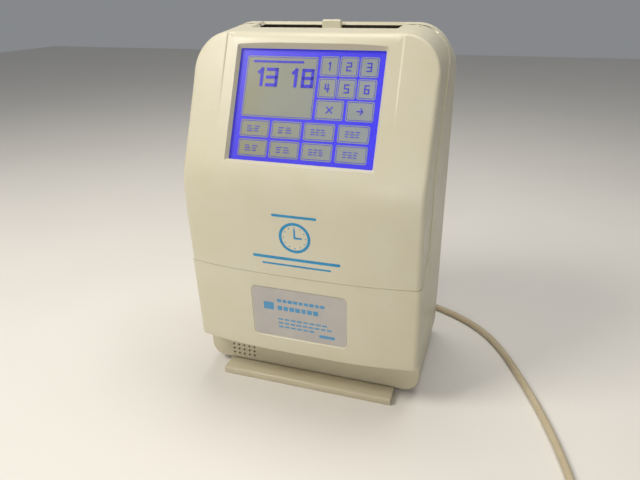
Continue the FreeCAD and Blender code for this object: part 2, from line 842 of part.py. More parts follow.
def printer():
    half = "chassis_half"
    out = f"({half} + plate_thick)"
    rods = [rod(f"carriage_rod_{i}", "rod_radius", f"2 * {out}", (f"-{out}", "rod_y", z))
            for i, z in enumerate(("rod_low_z", "rod_high_z"))]
    node(group("carriage_rod_pair", *rods), "carriage_rods")
    node(rod("carriage_screw_solid", "screw_radius", f"2 * {out} + 10 + shaft_end",
             (f"-{out} - 10", "screw_y", "screw_z")), "carriage_screw")
    bushes = []
    for i, x in enumerate((f"-{out}", half)):
        start = (x, "screw_y", "screw_z")
        bushes.append(cut(f"screw_bush_{i}", rod(f"screw_bush_ring_{i}", "bush_radius", "plate_thick", start),
                          rod(f"screw_bush_bore_{i}", "screw_radius + running_gap", "plate_thick", start)))
    node(group("screw_bush_pair", *bushes), "screw_bushes")
    can = rod("carriage_motor_can", "carriage_motor_radius", "carriage_motor_length",
              (f"-{out} - carriage_motor_length", "screw_y", "screw_z"))
    bore = rod("carriage_motor_bore", "screw_radius + running_gap", 11.5,
               (f"-{out} - 11", "screw_y", "screw_z"))
    node(cut("carriage_motor_solid", can, bore), "carriage_motor")
    carriage()
    ribbon()

    card_back = "card_y + card_gap / 2 + guide_thick"
    low = "print_z - platen_height / 2"
    bar = box("platen_bar", (f"2 * {half}", "platen_depth", "platen_height"),
              (f"-{half}", f"{card_back} + nip_gap", low))
    strip = box("platen_strip", ("card_width + 10", 4, "platen_height"),
                ("-card_width / 2 - 5", "card_y + nip_gap + 0.4", low))
    node(fuse("platen_solid", bar, strip), "platen")


def carriage():
    """The carriage on its two rods and lead screw, with the print head on its rear."""
    wide = "2 * carriage_half"
    front, low = "(rod_y - carriage_wall)", "(rod_low_z - carriage_wall + 1)"
    block = box("carriage_block", (wide, "carriage_depth", f"print_z + carriage_wall - {low}"),
                ("-carriage_half", front, low))
    slides = [rod(f"carriage_bore_{i}", "rod_radius + running_gap", f"{wide} + 4",
                  ("-carriage_half - 2", "rod_y", z)) for i, z in enumerate(("rod_low_z", "rod_high_z"))]
    nut = rod("carriage_nut_bore", "screw_radius + running_gap", f"{wide} + 4",
              ("-carriage_half - 2", "screw_y", "screw_z"))
    node(cut("carriage_solid", block, *slides, nut), "print_carriage")
    rear = f"({front} + carriage_depth)"
    tip = "(card_y - 9)"
    head = box("head_block", ("head_width", f"{tip} - {rear}", "head_height"),
               ("-head_width / 2", rear, "print_z - head_height / 2"))
    nose = cone("head_nose", "nose_root_radius", "nose_tip_radius", "nose_length", (0, tip, "print_z"), "y")
    node(fuse("print_head_solid", head, nose), "print_head")


def ribbon():
    """The ribbon cassette, the ribbon between its arms and the knob that winds it."""
    half, front, arm = "chassis_half", "cassette_front_y", "cassette_arm"
    left = f"-{half} + arm_gap"
    shell = box("cassette_box",
                (f"2 * {half} - 2 * arm_gap", "cassette_thick", "cassette_top_z - cassette_low_z"),
                (left, front, "cassette_low_z"))
    reach = f"card_y - card_gap / 2 - guide_thick - 0.4 - {front}"
    arms = [box(f"cassette_arm_{i}", (arm, reach, "cassette_arm_height"), (x, front, "print_z - 4"))
            for i, x in enumerate((left, f"{half} - arm_gap - {arm}"))]
    hollow = rod("knob_bore", "shaft_radius + running_gap", 8, ("knob_x", f"{front} - 1", "knob_z"), "y")
    node(cut("cassette_solid", fuse("cassette_whole", shell, *arms), hollow), "ribbon_cassette")
    between_arms = f"{half} - arm_gap - {arm}"
    strip = box("ribbon_strip", (f"2 * ({between_arms})", 0.3, "ribbon_height"),
                (f"-({between_arms})", "card_y - card_gap / 2 - guide_thick - 0.9",
                 "print_z + ribbon_rise - ribbon_height / 2"))
    node(strip, "ribbon_tape")
    grip = rod("knob_grip", "knob_radius", "knob_thick",
               ("knob_x", f"{front} - knob_thick - 0.4", "knob_z"), "y")
    stem = rod("knob_stem", "shaft_radius", 8, ("knob_x", f"{front} - 2", "knob_z"), "y")
    node(fuse("ribbon_knob_solid", grip, stem), "ribbon_knob")


def electrics():
    main_board()
    power_supply()
    wall = "base_y + case_wall"
    ring = rod("speaker_ring", "speaker_radius", "speaker_ring_thick", ("speaker_x", wall, "speaker_z"), "y")
    magnet = rod("speaker_magnet", "speaker_magnet_radius", "speaker_magnet_thick",
                 ("speaker_x", f"{wall} + speaker_ring_thick", "speaker_z"), "y")
    node(group("speaker_parts", ring, magnet), "speaker")
    node(box("sensor_board", ("sensor_width", "sensor_depth", "sensor_height"),
             ("-sensor_width / 2", "card_y + card_gap / 2 + guide_thick", "sensor_z")), "card_sensor")


def main_board():
    """The main board with its chips and sockets, on pillars in front of the back plate."""
    node(box("main_board_sheet", ("2 * board_half", "board_thick", "board_top_z - board_low_z"),
             ("-board_half", "board_y", "board_low_z")), "main_board")
    chips = []
    for i, (x, z, wide, tall) in enumerate(CHIPS):
        chips.append(box(f"chip_{i}", (wide, "chip_thick", tall), (x, "board_y - chip_thick", z)))
    node(group("chip_group", *chips), "board_chips")
    sockets = []
    for i, (x, wide) in enumerate(SOCKETS):
        sockets.append(box(f"socket_{i}", (wide, "socket_depth", "socket_height"),
                           (x, "board_y - socket_depth", "socket_z")))
    node(group("socket_group", *sockets), "board_connectors")
    spots = [(x, "board_y + board_thick", z)
             for x in ("-board_half + pillar_inset", "board_half - pillar_inset")
             for z in ("board_low_z + pillar_inset + 1", "board_top_z - pillar_inset - 1")]
    reach = "rear_y - case_wall - back_plate_thick - board_y - board_thick"
    pillars = [rod(f"pillar_{i}", "pillar_radius", reach, spot, "y") for i, spot in enumerate(spots)]
    node(group("pillar_group", *pillars), "board_pillars")


def power_supply():
    """Transformer, supply board and backup cells, which stand on the housing's floor."""
    floor = "(base_z + case_wall)"
    left = "transformer_x - transformer_width / 2"
    window = ("transformer_width - 3", "winding_depth")
    window_at = (f"{left} + 1.5", "core_front_y + (core_depth - winding_depth) / 2", floor)
    core = box("core", ("transformer_width", "core_depth", "core_height"), (left, "core_front_y", floor))
    hollow = box("core_window", (*window, "winding_height + 10"), window_at)
    node(cut("transformer_core_solid", core, hollow), "transformer_core")
    node(box("winding", (*window, "winding_height"), window_at), "transformer_winding")
    node(box("supply_board_sheet", ("transformer_width", "board_thick", "supply_board_height"),
             (left, "supply_board_y", floor)), "supply_board")
    cells = []
    for i, side in enumerate((-1, 1)):
        spot = (f"battery_x + {side} * battery_radius", "battery_front_y", f"{floor} + battery_radius")
        cells.append(rod(f"cell_{i}", "battery_radius - running_gap", "battery_length", spot, "y"))
    node(group("battery_cells", *cells), "backup_battery")


def outside_trim():
    back_plate()
    bar = box("bar_block", ("bar_width", "bar_rear_y - bar_front_y", "bar_thick"),
              ("-bar_width / 2", "bar_front_y", 0))
    bar_round = round_edges("bar_rounded", bar, "bar_round", lambda e: e.BoundBox.ZMax > 1)
    tongue = box("bar_tongue", ("tongue_width", "tongue_rear_y - bar_rear_y + 4", "tongue_thick"),
                 ("-tongue_width / 2", "bar_rear_y - 4", "base_z - tongue_thick"))
    node(fuse("foot_bar_solid", bar_round, tongue), "foot_bar")
    feet = [rod(f"foot_{i}", "foot_radius", "base_z", (x, "foot_y", 0), "z")
            for i, x in enumerate(("-foot_x", "foot_x"))]
    node(group("foot_pair", *feet), "rubber_feet")
    label = box("label_box", ("label_width - 2 * label_fit", "label_thick", "label_height - 2 * label_fit"),
                ("-label_width / 2 + label_fit", "label_depth - label_thick", "label_fit"))
    node(lean(group("label_sheet", label)), "label_plate")


def back_plate():
    """The plate behind the rear opening, its screws, and the holes that hang the clock on a wall."""
    half = "(case_width / 2 - rear_frame_side + plate_lap)"
    low = "(base_z + rear_frame_low - plate_lap)"
    front = "rear_y - case_wall - back_plate_thick"
    block = box("back_plate_box",
                (f"2 * {half}", "back_plate_thick", f"tail_z - rear_frame_top + plate_lap - {low}"),
                (f"-{half}", front, low))
    plate = common("back_plate_sheet", block, doc.getObject("inner_space"))
    spots = [(x, z) for x in ("-wall_hole_half_x", "wall_hole_half_x")
             for z in ("wall_hole_low_z", "wall_hole_high_z")]
    holes = [rod(f"wall_hole_{i}", "wall_hole_radius", 10, (x, "rear_y - 10", z), "y")
             for i, (x, z) in enumerate(spots)]
    holes += [rod(f"plate_screw_hole_{i}", "screw_shank_radius", 12, (x, "rear_y - 9", z), "y")
              for i, (x, z) in enumerate(back_screw_spots())]
    holes.append(rod("plate_cord_hole", "relief_radius + running_gap", 20,
                     ("cord_exit_x", "rear_y - 10", "cord_exit_z"), "y"))
    node(cut("back_plate_solid", plate, *holes), "back_plate")
    screws = []
    for i, (x, z) in enumerate(back_screw_spots()):
        head = rod(f"screw_head_{i}", "screw_head_radius", "screw_head_height", (x, "rear_y", z), "-y")
        shank = rod(f"screw_shank_{i}", "screw_shank_radius", "screw_shank_length",
                    (x, "rear_y - screw_head_height", z), "-y")
        screws.append(fuse(f"screw_{i}", head, shank))
    node(group("back_screw", *screws), "back_screws")


# Mains cord


def arc_route(points):
    """Straight runs joined by tangent arcs, each as large as its two runs allow."""
    corners = [Vector(*point) for point in points]
    edges, radii = [], []
    start = corners[0]
    for before, corner, after in zip(corners, corners[1:], corners[2:]):
        into, out = corner - before, after - corner
        shorter = min(into.Length, out.Length)
        turn = into.getAngle(out)
        reach = 0.45 * shorter
        radius = reach / math.tan(turn / 2)
        radii.append(radius)
        first = corner - into.normalize() * reach
        last = corner + out.normalize() * reach
        inward = (before - corner).normalize() + (after - corner).normalize()
        middle = corner + inward.normalize() * (radius / math.cos(turn / 2) - radius)
        edges.append(Part.LineSegment(start, first).toShape())
        edges.append(Part.Arc(first, middle, last).toShape())
        start = last
    edges.append(Part.LineSegment(start, corners[-1]).toShape())
    return Part.Wire(edges), radii


def cord():
    path, radii = arc_route(ROUTE)
    heading = Vector(*ROUTE[1]) - Vector(*ROUTE[0])
    section = Part.Wire(Part.makeCircle(size("cord_radius"), Vector(*ROUTE[0]), heading))
    tube = doc.addObject("Part::Feature", "power_cord_solid")
    tube.Shape = path.makePipeShell([section], True, False)
    tube.Placement = Placement()
    node(tube, "power_cord")
    print("cord radii", [round(radius, 1) for radius in radii])
    expected = math.pi * size("cord_radius") ** 2 * path.Length
    print("cord length", round(path.Length, 1), "volume ratio", tube.Shape.Volume / expected)

    centre = ("coil_x", "coil_y", 0)
    outside = rod("coil_outside", "coil_outer + cord_radius + coil_fit", "coil_height", centre, "z")
    inside = rod("coil_inside", "coil_inner - cord_radius - coil_fit", "coil_height", centre, "z")
    lead_in = rod("coil_lead_in", "cord_radius", "coil_lead",
                  ("coil_x + coil_outer", "coil_y", "cord_radius + coil_fit"), "y")
    high = "coil_height - cord_radius"
    lead_out = rod("coil_lead_out", "cord_radius", "coil_lead", ("coil_x", "coil_y - coil_outer", high), "-x")
    node(fuse("cord_coil_solid", cut("coil_ring", outside, inside), lead_in, lead_out), "cord_coil")

    buried = "(case_wall + back_plate_thick + relief_collar_inside)"
    collar = rod("relief_collar", "relief_radius", buried,
                 ("cord_exit_x", f"rear_y - {buried}", "cord_exit_z"), "y")
    taper = cone("relief_taper", "relief_radius + relief_flare", "cord_radius + relief_wall", "relief_length",
                 ("cord_exit_x", "rear_y", "cord_exit_z"), "y")
    node(fuse("strain_relief_solid", collar, taper), "strain_relief")

    start, middle = "(coil_x - coil_lead)", "(coil_y - coil_outer)"
    block_end = f"({start} - plug_neck_length + 2 - plug_length)"
    neck = cone("plug_neck", "cord_radius + relief_wall", "plug_neck_radius", "plug_neck_length",
                (start, middle, high), "-x")
    block = box("plug_block", ("plug_length", "plug_width", "plug_height"),
                (block_end, f"{middle} - plug_width / 2", f"{high} - plug_height / 2"))
    node(fuse("plug_body_solid", neck, block), "plug_body")
    blades = [box(f"blade_{i}", ("blade_length", "blade_thick", "blade_width"),
                  (f"{block_end} - blade_length", f"{middle} + {side} * blade_pitch / 2 - blade_thick / 2",
                   f"{high} - blade_width / 2")) for i, side in enumerate((-1, 1))]
    node(group("plug_blade_pair", *blades), "plug_blades")


def check_and_write():
    doc.recompute()
    broken = [item.Name for item in doc.Objects if {"Invalid", "Error"} & set(item.State)]
    for item in NODES:
        if item.Shape.isNull() or not item.Shape.isValid():
            broken.append(item.Label)
    if broken:
        raise RuntimeError(f"failed objects: {broken}")
    os.makedirs("parts", exist_ok=True)
    for item in NODES:
        item.Shape.exportStep(f"parts/{item.Label}.step")
    print(len(NODES), "nodes written")


fill_sheet()
housing()
display()
card_path()
chassis()
rollers()
printer()
electrics()
outside_trim()
cord()
check_and_write()
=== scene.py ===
import json
import math

import bmesh
import bpy
import numpy as np
from mathutils import Matrix, Vector


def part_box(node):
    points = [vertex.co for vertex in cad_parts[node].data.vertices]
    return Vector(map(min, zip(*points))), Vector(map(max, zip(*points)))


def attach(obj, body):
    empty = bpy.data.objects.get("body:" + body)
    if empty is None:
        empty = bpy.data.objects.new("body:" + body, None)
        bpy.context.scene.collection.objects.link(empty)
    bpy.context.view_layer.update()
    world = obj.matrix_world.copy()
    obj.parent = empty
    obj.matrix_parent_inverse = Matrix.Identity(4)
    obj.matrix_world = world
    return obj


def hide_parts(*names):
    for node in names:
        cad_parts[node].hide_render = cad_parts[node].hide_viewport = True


# Punch time clock. Shapes are worked out in millimetres and written to meshes in metres.
# X is to the right, Y to the rear and Z up, with the origin on the table under the housing.

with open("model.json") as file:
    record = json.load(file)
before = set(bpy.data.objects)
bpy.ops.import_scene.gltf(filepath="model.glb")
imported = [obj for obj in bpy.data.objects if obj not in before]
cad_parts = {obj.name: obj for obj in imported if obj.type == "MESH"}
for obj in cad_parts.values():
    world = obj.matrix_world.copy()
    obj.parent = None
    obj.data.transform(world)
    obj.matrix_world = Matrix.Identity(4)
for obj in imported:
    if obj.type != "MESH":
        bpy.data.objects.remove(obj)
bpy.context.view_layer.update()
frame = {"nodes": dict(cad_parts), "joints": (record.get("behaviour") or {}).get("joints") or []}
MM = 0.001
NODES = frame["nodes"]

CASE_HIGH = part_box("main_case")[1] / MM
THROAT_LOW, THROAT_HIGH = (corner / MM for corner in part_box("card_throat"))
HINGE = next(joint for joint in frame["joints"] if joint["name"] == "cover_hinge")

# Housing
HALF_WIDTH = CASE_HIGH.x
REAR_Y = CASE_HIGH.y
RIDGE_Z = 315
WALL = 2.5
LOW_FRONT = (-67.1, 40.5)
BULGE = (-75.8, 197)
BROW = (-24.8, 308.9)
RIDGE = (34, RIDGE_Z)
TAIL = (REAR_Y, 305)
BASE_FRONT_Y = -43
BASE_Z = 6
TOP_CORNER = 30
BASE_CORNER = 13
REAR_EDGE = 5
LIP_ROUND = 1.5
BULGE_ROUND = 8.2
RIDGE_ROUND = 1.2
BASE_TOP = 120
CENTRE = (0, 150)

# Front: how far it bows back towards the sides, and where the flanks beside the display rise
BOW = 7.5
BOW_START = 20
BOW_REACH = 82.5
BOW_POWER = 2.2
FLANK_X = 71.2
FLANK_RISE = 1.5
FLANK_Z = 232
FLANK_FADE = 62

# Front edges: softer in the middle than at the flanks, which are sharpest near the top
MIDDLE_EDGE = 6.4
FLANK_EDGE = 4.2
TOP_EDGE_LOSS = 2.4
EDGE_X = 66
EDGE_CHANGE = 6
TOP_EDGE_Z = 270
TOP_EDGE_CHANGE = 25

# Seam, hinge and slot
SEAM_Z = 121
SEAM_GAP = 0.35
SEAM_Y = -25.1
SEAM_BEND = (34, 32)
SEAM_TOP_Z = 199
SEAM_LEDGE = (0.6, 203)
HINGE_LEDGE_Z = 296.9
COVER_TOP_Y = HINGE["pos_m"][1] / MM
HINGE_Z = HINGE["pos_m"][2] / MM
HINGE_CLEAR = 3.5
KNUCKLE_IN = 63.5
KNUCKLE_LENGTH = 4.4
KNUCKLE_STEP = 4.7
KNUCKLE_RADIUS = 2.8
SLOT_HALF = 61
SLOT_FRONT_Y = 1
SLOT_REAR_Y = 33

# Display, on its own plane
FACE_TILT = math.radians(24.5)
DISPLAY = Vector((0, -43.4, 256.4))
WINDOW = (118, 88.8)
BEVEL_DEPTH = 4.6
BEVEL = 3.2
FRAME_RIM = 8
FRAME_FLOOR = 0.02
FRAME_TOP = 16
# The opening's straight stretch ends under the frame's floor, so that the cut leaves no face across it.
STRAIGHT_TOP = -0.6


# How proud the flanks stand and how wide the form is, for each skin. The cover is a little narrower than the
# case, so that the case's rim shows along the side seam.
CASE_SKIN = (0.8, HALF_WIDTH)
COVER_SKIN = (0.8, HALF_WIDTH - 1.0)
INNER_SKIN = (0, HALF_WIDTH)


# Distances, in millimetres


def smooth_max(a, b, reach):
    """The larger of two distances, with the edge between them rounded; suits blunt edges."""
    return np.maximum(a, b) + np.maximum(reach - np.abs(a - b), 0) ** 2 / (4 * reach)


def round_max(a, b, radius):
    """The larger of two distances, with a round edge where they meet squarely."""
    inside = np.minimum(np.maximum(a, b), -radius)
    return inside + np.hypot(np.maximum(a + radius, 0), np.maximum(b + radius, 0))


def step(value):
    """Rises smoothly from 0 to 1."""
    t = np.clip(value, 0, 1)
    return t * t * (3 - 2 * t)


def plane(y, z, start, end):
    """Distance outside the plane that runs through two points of the side profile."""
    run, rise = end[0] - start[0], end[1] - start[1]
    return ((y - start[0]) * -rise + (z - start[1]) * run) / math.hypot(run, rise)


def set_back(x, z, proud):
    """How far the front lies behind its middle: bowed at the flanks, which stand proud beside the display."""
    bow = BOW * (np.maximum(np.abs(x) - BOW_START, 0) / BOW_REACH) ** BOW_POWER
    flank = proud * step((np.abs(x) - FLANK_X) / FLANK_RISE) * step((z - FLANK_Z) / FLANK_FADE)
    return bow - flank


def housing_distance(points, skin):
    """Distance outside one of the housing's skins; points are rows of x, y, z."""
    proud, half = skin
    x, y, z = points.T
    forward = y - set_back(x, z, proud)
    front = smooth_max(plane(forward, z, LOW_FRONT, BULGE), plane(forward, z, BULGE, BROW),
                       BULGE_ROUND)
    top = smooth_max(plane(y, z, BROW, RIDGE), plane(y, z, RIDGE, TAIL), RIDGE_ROUND)
    side = np.abs(x) - half
    shell = round_max(top, side, TOP_CORNER)
    flank = step((np.abs(x) - EDGE_X) / EDGE_CHANGE)
    loss = TOP_EDGE_LOSS * step((z - TOP_EDGE_Z) / TOP_EDGE_CHANGE)
    edge = (1 - flank) * MIDDLE_EDGE + flank * (FLANK_EDGE - loss)
    upper = round_max(smooth_max(front, shell, edge), LOW_FRONT[1] - z, LIP_ROUND)
    base = round_max(round_max(side, BASE_Z - z, BASE_CORNER), BASE_FRONT_Y - y, LIP_ROUND)
    base = np.maximum(base, z - BASE_TOP)
    return round_max(np.minimum(upper, base), y - REAR_Y, REAR_EDGE)


def slope(points, skin):
    """Outward direction of the housing's distance at each point."""
    shifts = np.eye(3) * 0.02
    rise = [housing_distance(points + shift, skin) - housing_distance(points - shift, skin)
            for shift in shifts]
    found = np.array(rise).T
    return found / np.maximum(np.linalg.norm(found, axis=1, keepdims=True), 1e-9)


def settle(points, skin, level=0.0):
    """Moves points along the slope until they lie at one distance from the skin."""
    for _ in range(12):
        points = points - slope(points, skin) * (housing_distance(points, skin) - level)[:, None]
    return points


# Mesh helpers


def placed(name, data):
    """A new object in the scene."""
    made = bpy.data.objects.new(name, data)
    bpy.context.scene.collection.objects.link(made)
    return made


def mesh_object(name, vertices, faces, scale=MM):
    mesh = bpy.data.meshes.new(name)
    mesh.from_pydata([tuple(v) for v in np.asarray(vertices, float) * scale], [], faces)
    mesh.validate()
    return placed(name, mesh)


def edited(obj, change):
    """Runs one change on a mesh in its editable form."""
    work = bmesh.new()
    work.from_mesh(obj.data)
    change(work)
    work.to_mesh(obj.data)
    work.free()
    return obj


def outward(obj):
    """Turns every face of a closed mesh outward."""
    return edited(obj, lambda work: bmesh.ops.recalc_face_normals(work, faces=work.faces))


def loft(name, rings, closed=True, capped=True):
    """A skin through rings of equal count, capped at both ends."""
    count = len(rings[0])
    vertices = [point for ring in rings for point in ring]
    faces = []
    for r in range(len(rings) - 1):
        for i in range(count if closed else count - 1):
            k = (i + 1) % count
            faces.append((r * count + i, r * count + k, (r + 1) * count + k, (r + 1) * count + i))
    if capped:
        faces.append(tuple(reversed(range(count))))
        faces.append(tuple(range((len(rings) - 1) * count, len(rings) * count)))
    return outward(mesh_object(name, vertices, faces))


def rounded(width, height, radius, steps=6, at=(0, 0)):
    """A rectangle with round corners, as points on a plane."""
    points = []
    for sx, sy, start in ((1, 1, 0), (-1, 1, 90), (-1, -1, 180), (1, -1, 270)):
        for i in range(steps + 1):
            angle = math.radians(start + 90 * i / steps)
            points.append((at[0] + sx * (width / 2 - radius) + radius * math.cos(angle),
                           at[1] + sy * (height / 2 - radius) + radius * math.sin(angle)))
    return points


def circle(radius, steps=32, at=(0, 0)):
    turns = [2 * math.pi * i / steps for i in range(steps)]
    return [(at[0] + radius * math.cos(a), at[1] + radius * math.sin(a)) for a in turns]


PLANES = {
    "x": lambda a, b, depth: (depth, a, b),
    "y": lambda a, b, depth: (a, depth, b),
    "z": lambda a, b, depth: (a, b, depth),
}


def prism(name, outline, low, high, axis):
    """An outline pushed along one axis."""
    return loft(name, [[PLANES[axis](a, b, depth) for a, b in outline] for depth in (low, high)])


def join(objects):
    """One object from several."""
    work = bmesh.new()
    for obj in objects:
        work.from_mesh(obj.data)
    first = objects[0]
    work.to_mesh(first.data)
    work.free()
    for obj in objects[1:]:
        bpy.data.objects.remove(obj)
    return first


def apply_modifiers(obj):
    """Replaces the mesh by what its modifiers make of it."""
    graph = bpy.context.evaluated_depsgraph_get()
    made = bpy.data.meshes.new_from_object(obj.evaluated_get(graph))
    obj.modifiers.clear()
    obj.data = made
    return obj


def combine(obj, tool, operation, overlapping=False):
    """A boolean that uses the tool up."""
    change = obj.modifiers.new(operation, "BOOLEAN")
    change.operation = operation
    change.solver = "EXACT"
    change.use_self = overlapping
    change.object = tool
    apply_modifiers(obj)
    bpy.data.objects.remove(tool)
    return obj


def triangulated(obj):
    return edited(obj, lambda work: bmesh.ops.triangulate(work, faces=work.faces))


def shade(obj, angle=32):
    obj.data.shade_smooth()
    obj.data.set_sharp_from_angle(angle=math.radians(angle))
    return obj


def soften(obj, width, segments=3, angle=35):
    """Rounds the hard edges of a piece."""
    bevel = obj.modifiers.new("edges", "BEVEL")
    bevel.width = width * MM
    bevel.segments = segments
    bevel.limit_method = "ANGLE"
    bevel.angle_limit = math.radians(angle)
    apply_modifiers(obj)
    return shade(obj, 40)


# Materials


def rgb(red, green, blue):
    """A colour given as 0 to 255 on screen, as Blender's linear numbers."""
    linear = [((c / 255 + 0.055) / 1.055) ** 2.4 if c > 10 else c / 3295 for c in (red, green, blue)]
    return (*linear, 1)


class Finish:
    """A material whose colour, roughness and bump vary over the piece's own coordinates."""

    def __init__(self, name, colour, metallic=0.0, coat=0.0, specular=0.5):
        self.material = bpy.data.materials.new(name)
        self.material.use_nodes = True
        self.nodes = self.material.node_tree.nodes
        self.links = self.material.node_tree.links
        self.shader = self.nodes["Principled BSDF"]
        self.shader.inputs["Metallic"].default_value = metallic
        self.shader.inputs["Coat Weight"].default_value = coat
        self.shader.inputs["Specular IOR Level"].default_value = specular
        self.where = self.nodes.new("ShaderNodeTexCoord").outputs["Object"]
        self.colour = self.nodes.new("ShaderNodeRGB").outputs[0]
        self.colour.default_value = rgb(*colour)
        self.height = None

    def noise(self, scale, detail=4.0, stretch=(1, 1, 1), rough=0.55):
        """Noise over the piece; scale is in features per metre."""
        place = self.nodes.new("ShaderNodeMapping")
        place.inputs["Scale"].default_value = stretch
        self.links.new(self.where, place.inputs["Vector"])
        made = self.nodes.new("ShaderNodeTexNoise")
        made.inputs["Scale"].default_value = scale
        made.inputs["Detail"].default_value = detail
        made.inputs["Roughness"].default_value = rough
        self.links.new(place.outputs[0], made.inputs["Vector"])
        return made.outputs["Fac"]

    def ramp(self, value, low, high, out_low=0.0, out_high=1.0):
        made = self.nodes.new("ShaderNodeMapRange")
        self.links.new(value, made.inputs["Value"])
        for key, number in (("From Min", low), ("From Max", high), ("To Min", out_low), ("To Max", out_high)):
            made.inputs[key].default_value = number
        return made.outputs["Result"]

    def along(self, axis):
        """One coordinate of the piece, in metres."""
        split = self.nodes.new("ShaderNodeSeparateXYZ")
        self.links.new(self.where, split.inputs[0])
        return split.outputs[axis]

    def tint(self, colour, amount):
        """Mixes a second colour in where amount, a socket, is high."""
        mix = self.nodes.new("ShaderNodeMix")
        mix.data_type = "RGBA"
        self.links.new(amount, mix.inputs["Factor"])
        self.links.new(self.colour, mix.inputs["A"])
        mix.inputs["B"].default_value = rgb(*colour)
        self.colour = mix.outputs["Result"]
        return self

    def mottle(self, colour, scale, strength=0.5, detail=4.0, stretch=(1, 1, 1)):
        """Cloudy patches of a second colour."""
        return self.tint(colour, self.ramp(self.noise(scale, detail, stretch), 0.35, 0.75, 0, strength))

    def specks(self, colour, scale, cut=0.68, strength=0.8):
        """Small separate marks of a second colour."""
        return self.tint(colour, self.ramp(self.noise(scale, 2.0), cut, cut + 0.06, 0, strength))

    def set_rough(self, middle, spread, scale, stretch=(1, 1, 1)):
        value = self.ramp(self.noise(scale, 5.0, stretch), 0.3, 0.7, middle - spread, middle + spread)
        self.links.new(value, self.shader.inputs["Roughness"])
        return self

    def add_height(self, value):
        if self.height is None:
            self.height = value
            return
        both = self.nodes.new("ShaderNodeMath")
        both.operation = "ADD"
        self.links.new(self.height, both.inputs[0])
        self.links.new(value, both.inputs[1])
        self.height = both.outputs[0]

    def grain(self, scale, depth, detail=3.0, stretch=(1, 1, 1)):
        """Surface texture; depth is in millimetres."""
        self.add_height(self.ramp(self.noise(scale, detail, stretch), 0, 1, 0, depth * MM))
        return self

    def scratches(self, depth=0.01, scale=60, stretch=(1, 12, 1)):
        """Fine marks that run mostly one way."""
        lines = self.noise(scale, 6.0, stretch, 0.7)
        self.add_height(self.ramp(lines, 0.62, 0.66, 0, -depth * MM))
        return self

    def done(self, bump=1.0):
        self.links.new(self.colour, self.shader.inputs["Base Color"])
        if self.height is not None:
            relief = self.nodes.new("ShaderNodeBump")
            relief.inputs["Strength"].default_value = bump
            relief.inputs["Distance"].default_value = 1.0
            self.links.new(self.height, relief.inputs["Height"])
            self.links.new(relief.outputs[0], self.shader.inputs["Normal"])
        return self.material


def moulded_plastic():
    """The housing: warm cream plastic with a fine grain, yellowed, and darker towards the bottom."""
    made = Finish("housing_plastic", (204, 198, 174), specular=0.45)
    made.set_rough(0.38, 0.06, 45)
    made.mottle((198, 188, 158), 9, 0.5)
    made.mottle((210, 206, 188), 30, 0.35)
    # Darker towards the bottom, over the lowest 5 cm above the table.
    made.tint((160, 144, 112), made.ramp(made.along("Z"), 0.05, 0.0, 0, 0.45))
    made.specks((150, 134, 104), 210, 0.74, 0.35)
    made.grain(1900, 0.016).grain(420, 0.010).scratches(0.006, 25, (1, 9, 3))
    return made.done(0.55)


def dark_plastic():
    made = Finish("dark_moulding", (44, 43, 41))
    made.set_rough(0.5, 0.08, 60).mottle((62, 60, 56), 25, 0.5)
    return made.grain(1500, 0.02).scratches(0.008).done(0.6)


def sheet_steel():
    made = Finish("zinc_sheet", (176, 178, 176), metallic=0.9)
    made.set_rough(0.36, 0.1, 40).mottle((150, 152, 148), 60, 0.6, 6).mottle((196, 194, 178), 14, 0.4)
    return made.grain(700, 0.012).scratches(0.008, 45, (1, 1, 10)).done(0.5)


def ground_steel():
    made = Finish("ground_steel", (196, 197, 198), metallic=1.0)
    made.set_rough(0.22, 0.08, 120, (1, 8, 8)).mottle((170, 172, 174), 80, 0.5)
    return made.grain(900, 0.006, 2, (1, 12, 12)).done(0.5)


def brass():
    made = Finish("sintered_bronze", (176, 138, 78), metallic=1.0)
    made.set_rough(0.4, 0.1, 200).mottle((120, 88, 48), 140, 0.6)
    return made.specks((70, 50, 30), 1800, 0.62, 0.6).grain(1500, 0.02).done(0.6)


def rubber():
    made = Finish("black_rubber", (34, 34, 35), specular=0.3)
    made.set_rough(0.78, 0.08, 90).mottle((56, 55, 53), 120, 0.5)
    return made.specks((92, 88, 80), 700, 0.7, 0.4).grain(1200, 0.03).done(0.7)


def gear_nylon():
    made = Finish("gear_acetal", (226, 222, 208))
    made.set_rough(0.42, 0.06, 80).mottle((206, 196, 168), 50, 0.6)
    made.shader.inputs["Subsurface Weight"].default_value = 0.08
    return made.specks((120, 104, 78), 500, 0.7, 0.3).grain(900, 0.01).done(0.5)


def motor_can():
    made = Finish("motor_can", (148, 150, 152), metallic=0.95)
    made.set_rough(0.3, 0.08, 60, (1, 6, 6)).mottle((118, 120, 124), 40, 0.6)
    return made.grain(600, 0.008, 2, (1, 9, 9)).done(0.5)


def circuit_board():
    """Green solder mask over faint copper tracks, with tinned dots."""
    made = Finish("circuit_board", (22, 78, 50), coat=0.25)
    made.set_rough(0.34, 0.06, 200)
    grid = made.nodes.new("ShaderNodeTexBrick")
    grid.inputs["Scale"].default_value = 55
    grid.inputs["Mortar Size"].default_value = 0.035
    turn = made.nodes.new("ShaderNodeMapping")
    turn.inputs["Rotation"].default_value = (math.radians(90), 0, 0)
    made.links.new(made.where, turn.inputs["Vector"])
    made.links.new(turn.outputs[0], grid.inputs["Vector"])
    made.tint((46, 116, 74), grid.outputs["Fac"])
    made.add_height(made.ramp(grid.outputs["Fac"], 0, 1, 0, 0.00003))
    made.specks((196, 196, 188), 420, 0.7, 0.9)
    return made.mottle((14, 58, 38), 18, 0.5).done(0.8)


def chip_black():
    made = Finish("moulded_epoxy", (32, 32, 34))
    made.set_rough(0.55, 0.06, 150).mottle((48, 48, 50), 300, 0.4)
    return made.specks((96, 96, 94), 900, 0.76, 0.3).grain(2500, 0.02).done(0.7)


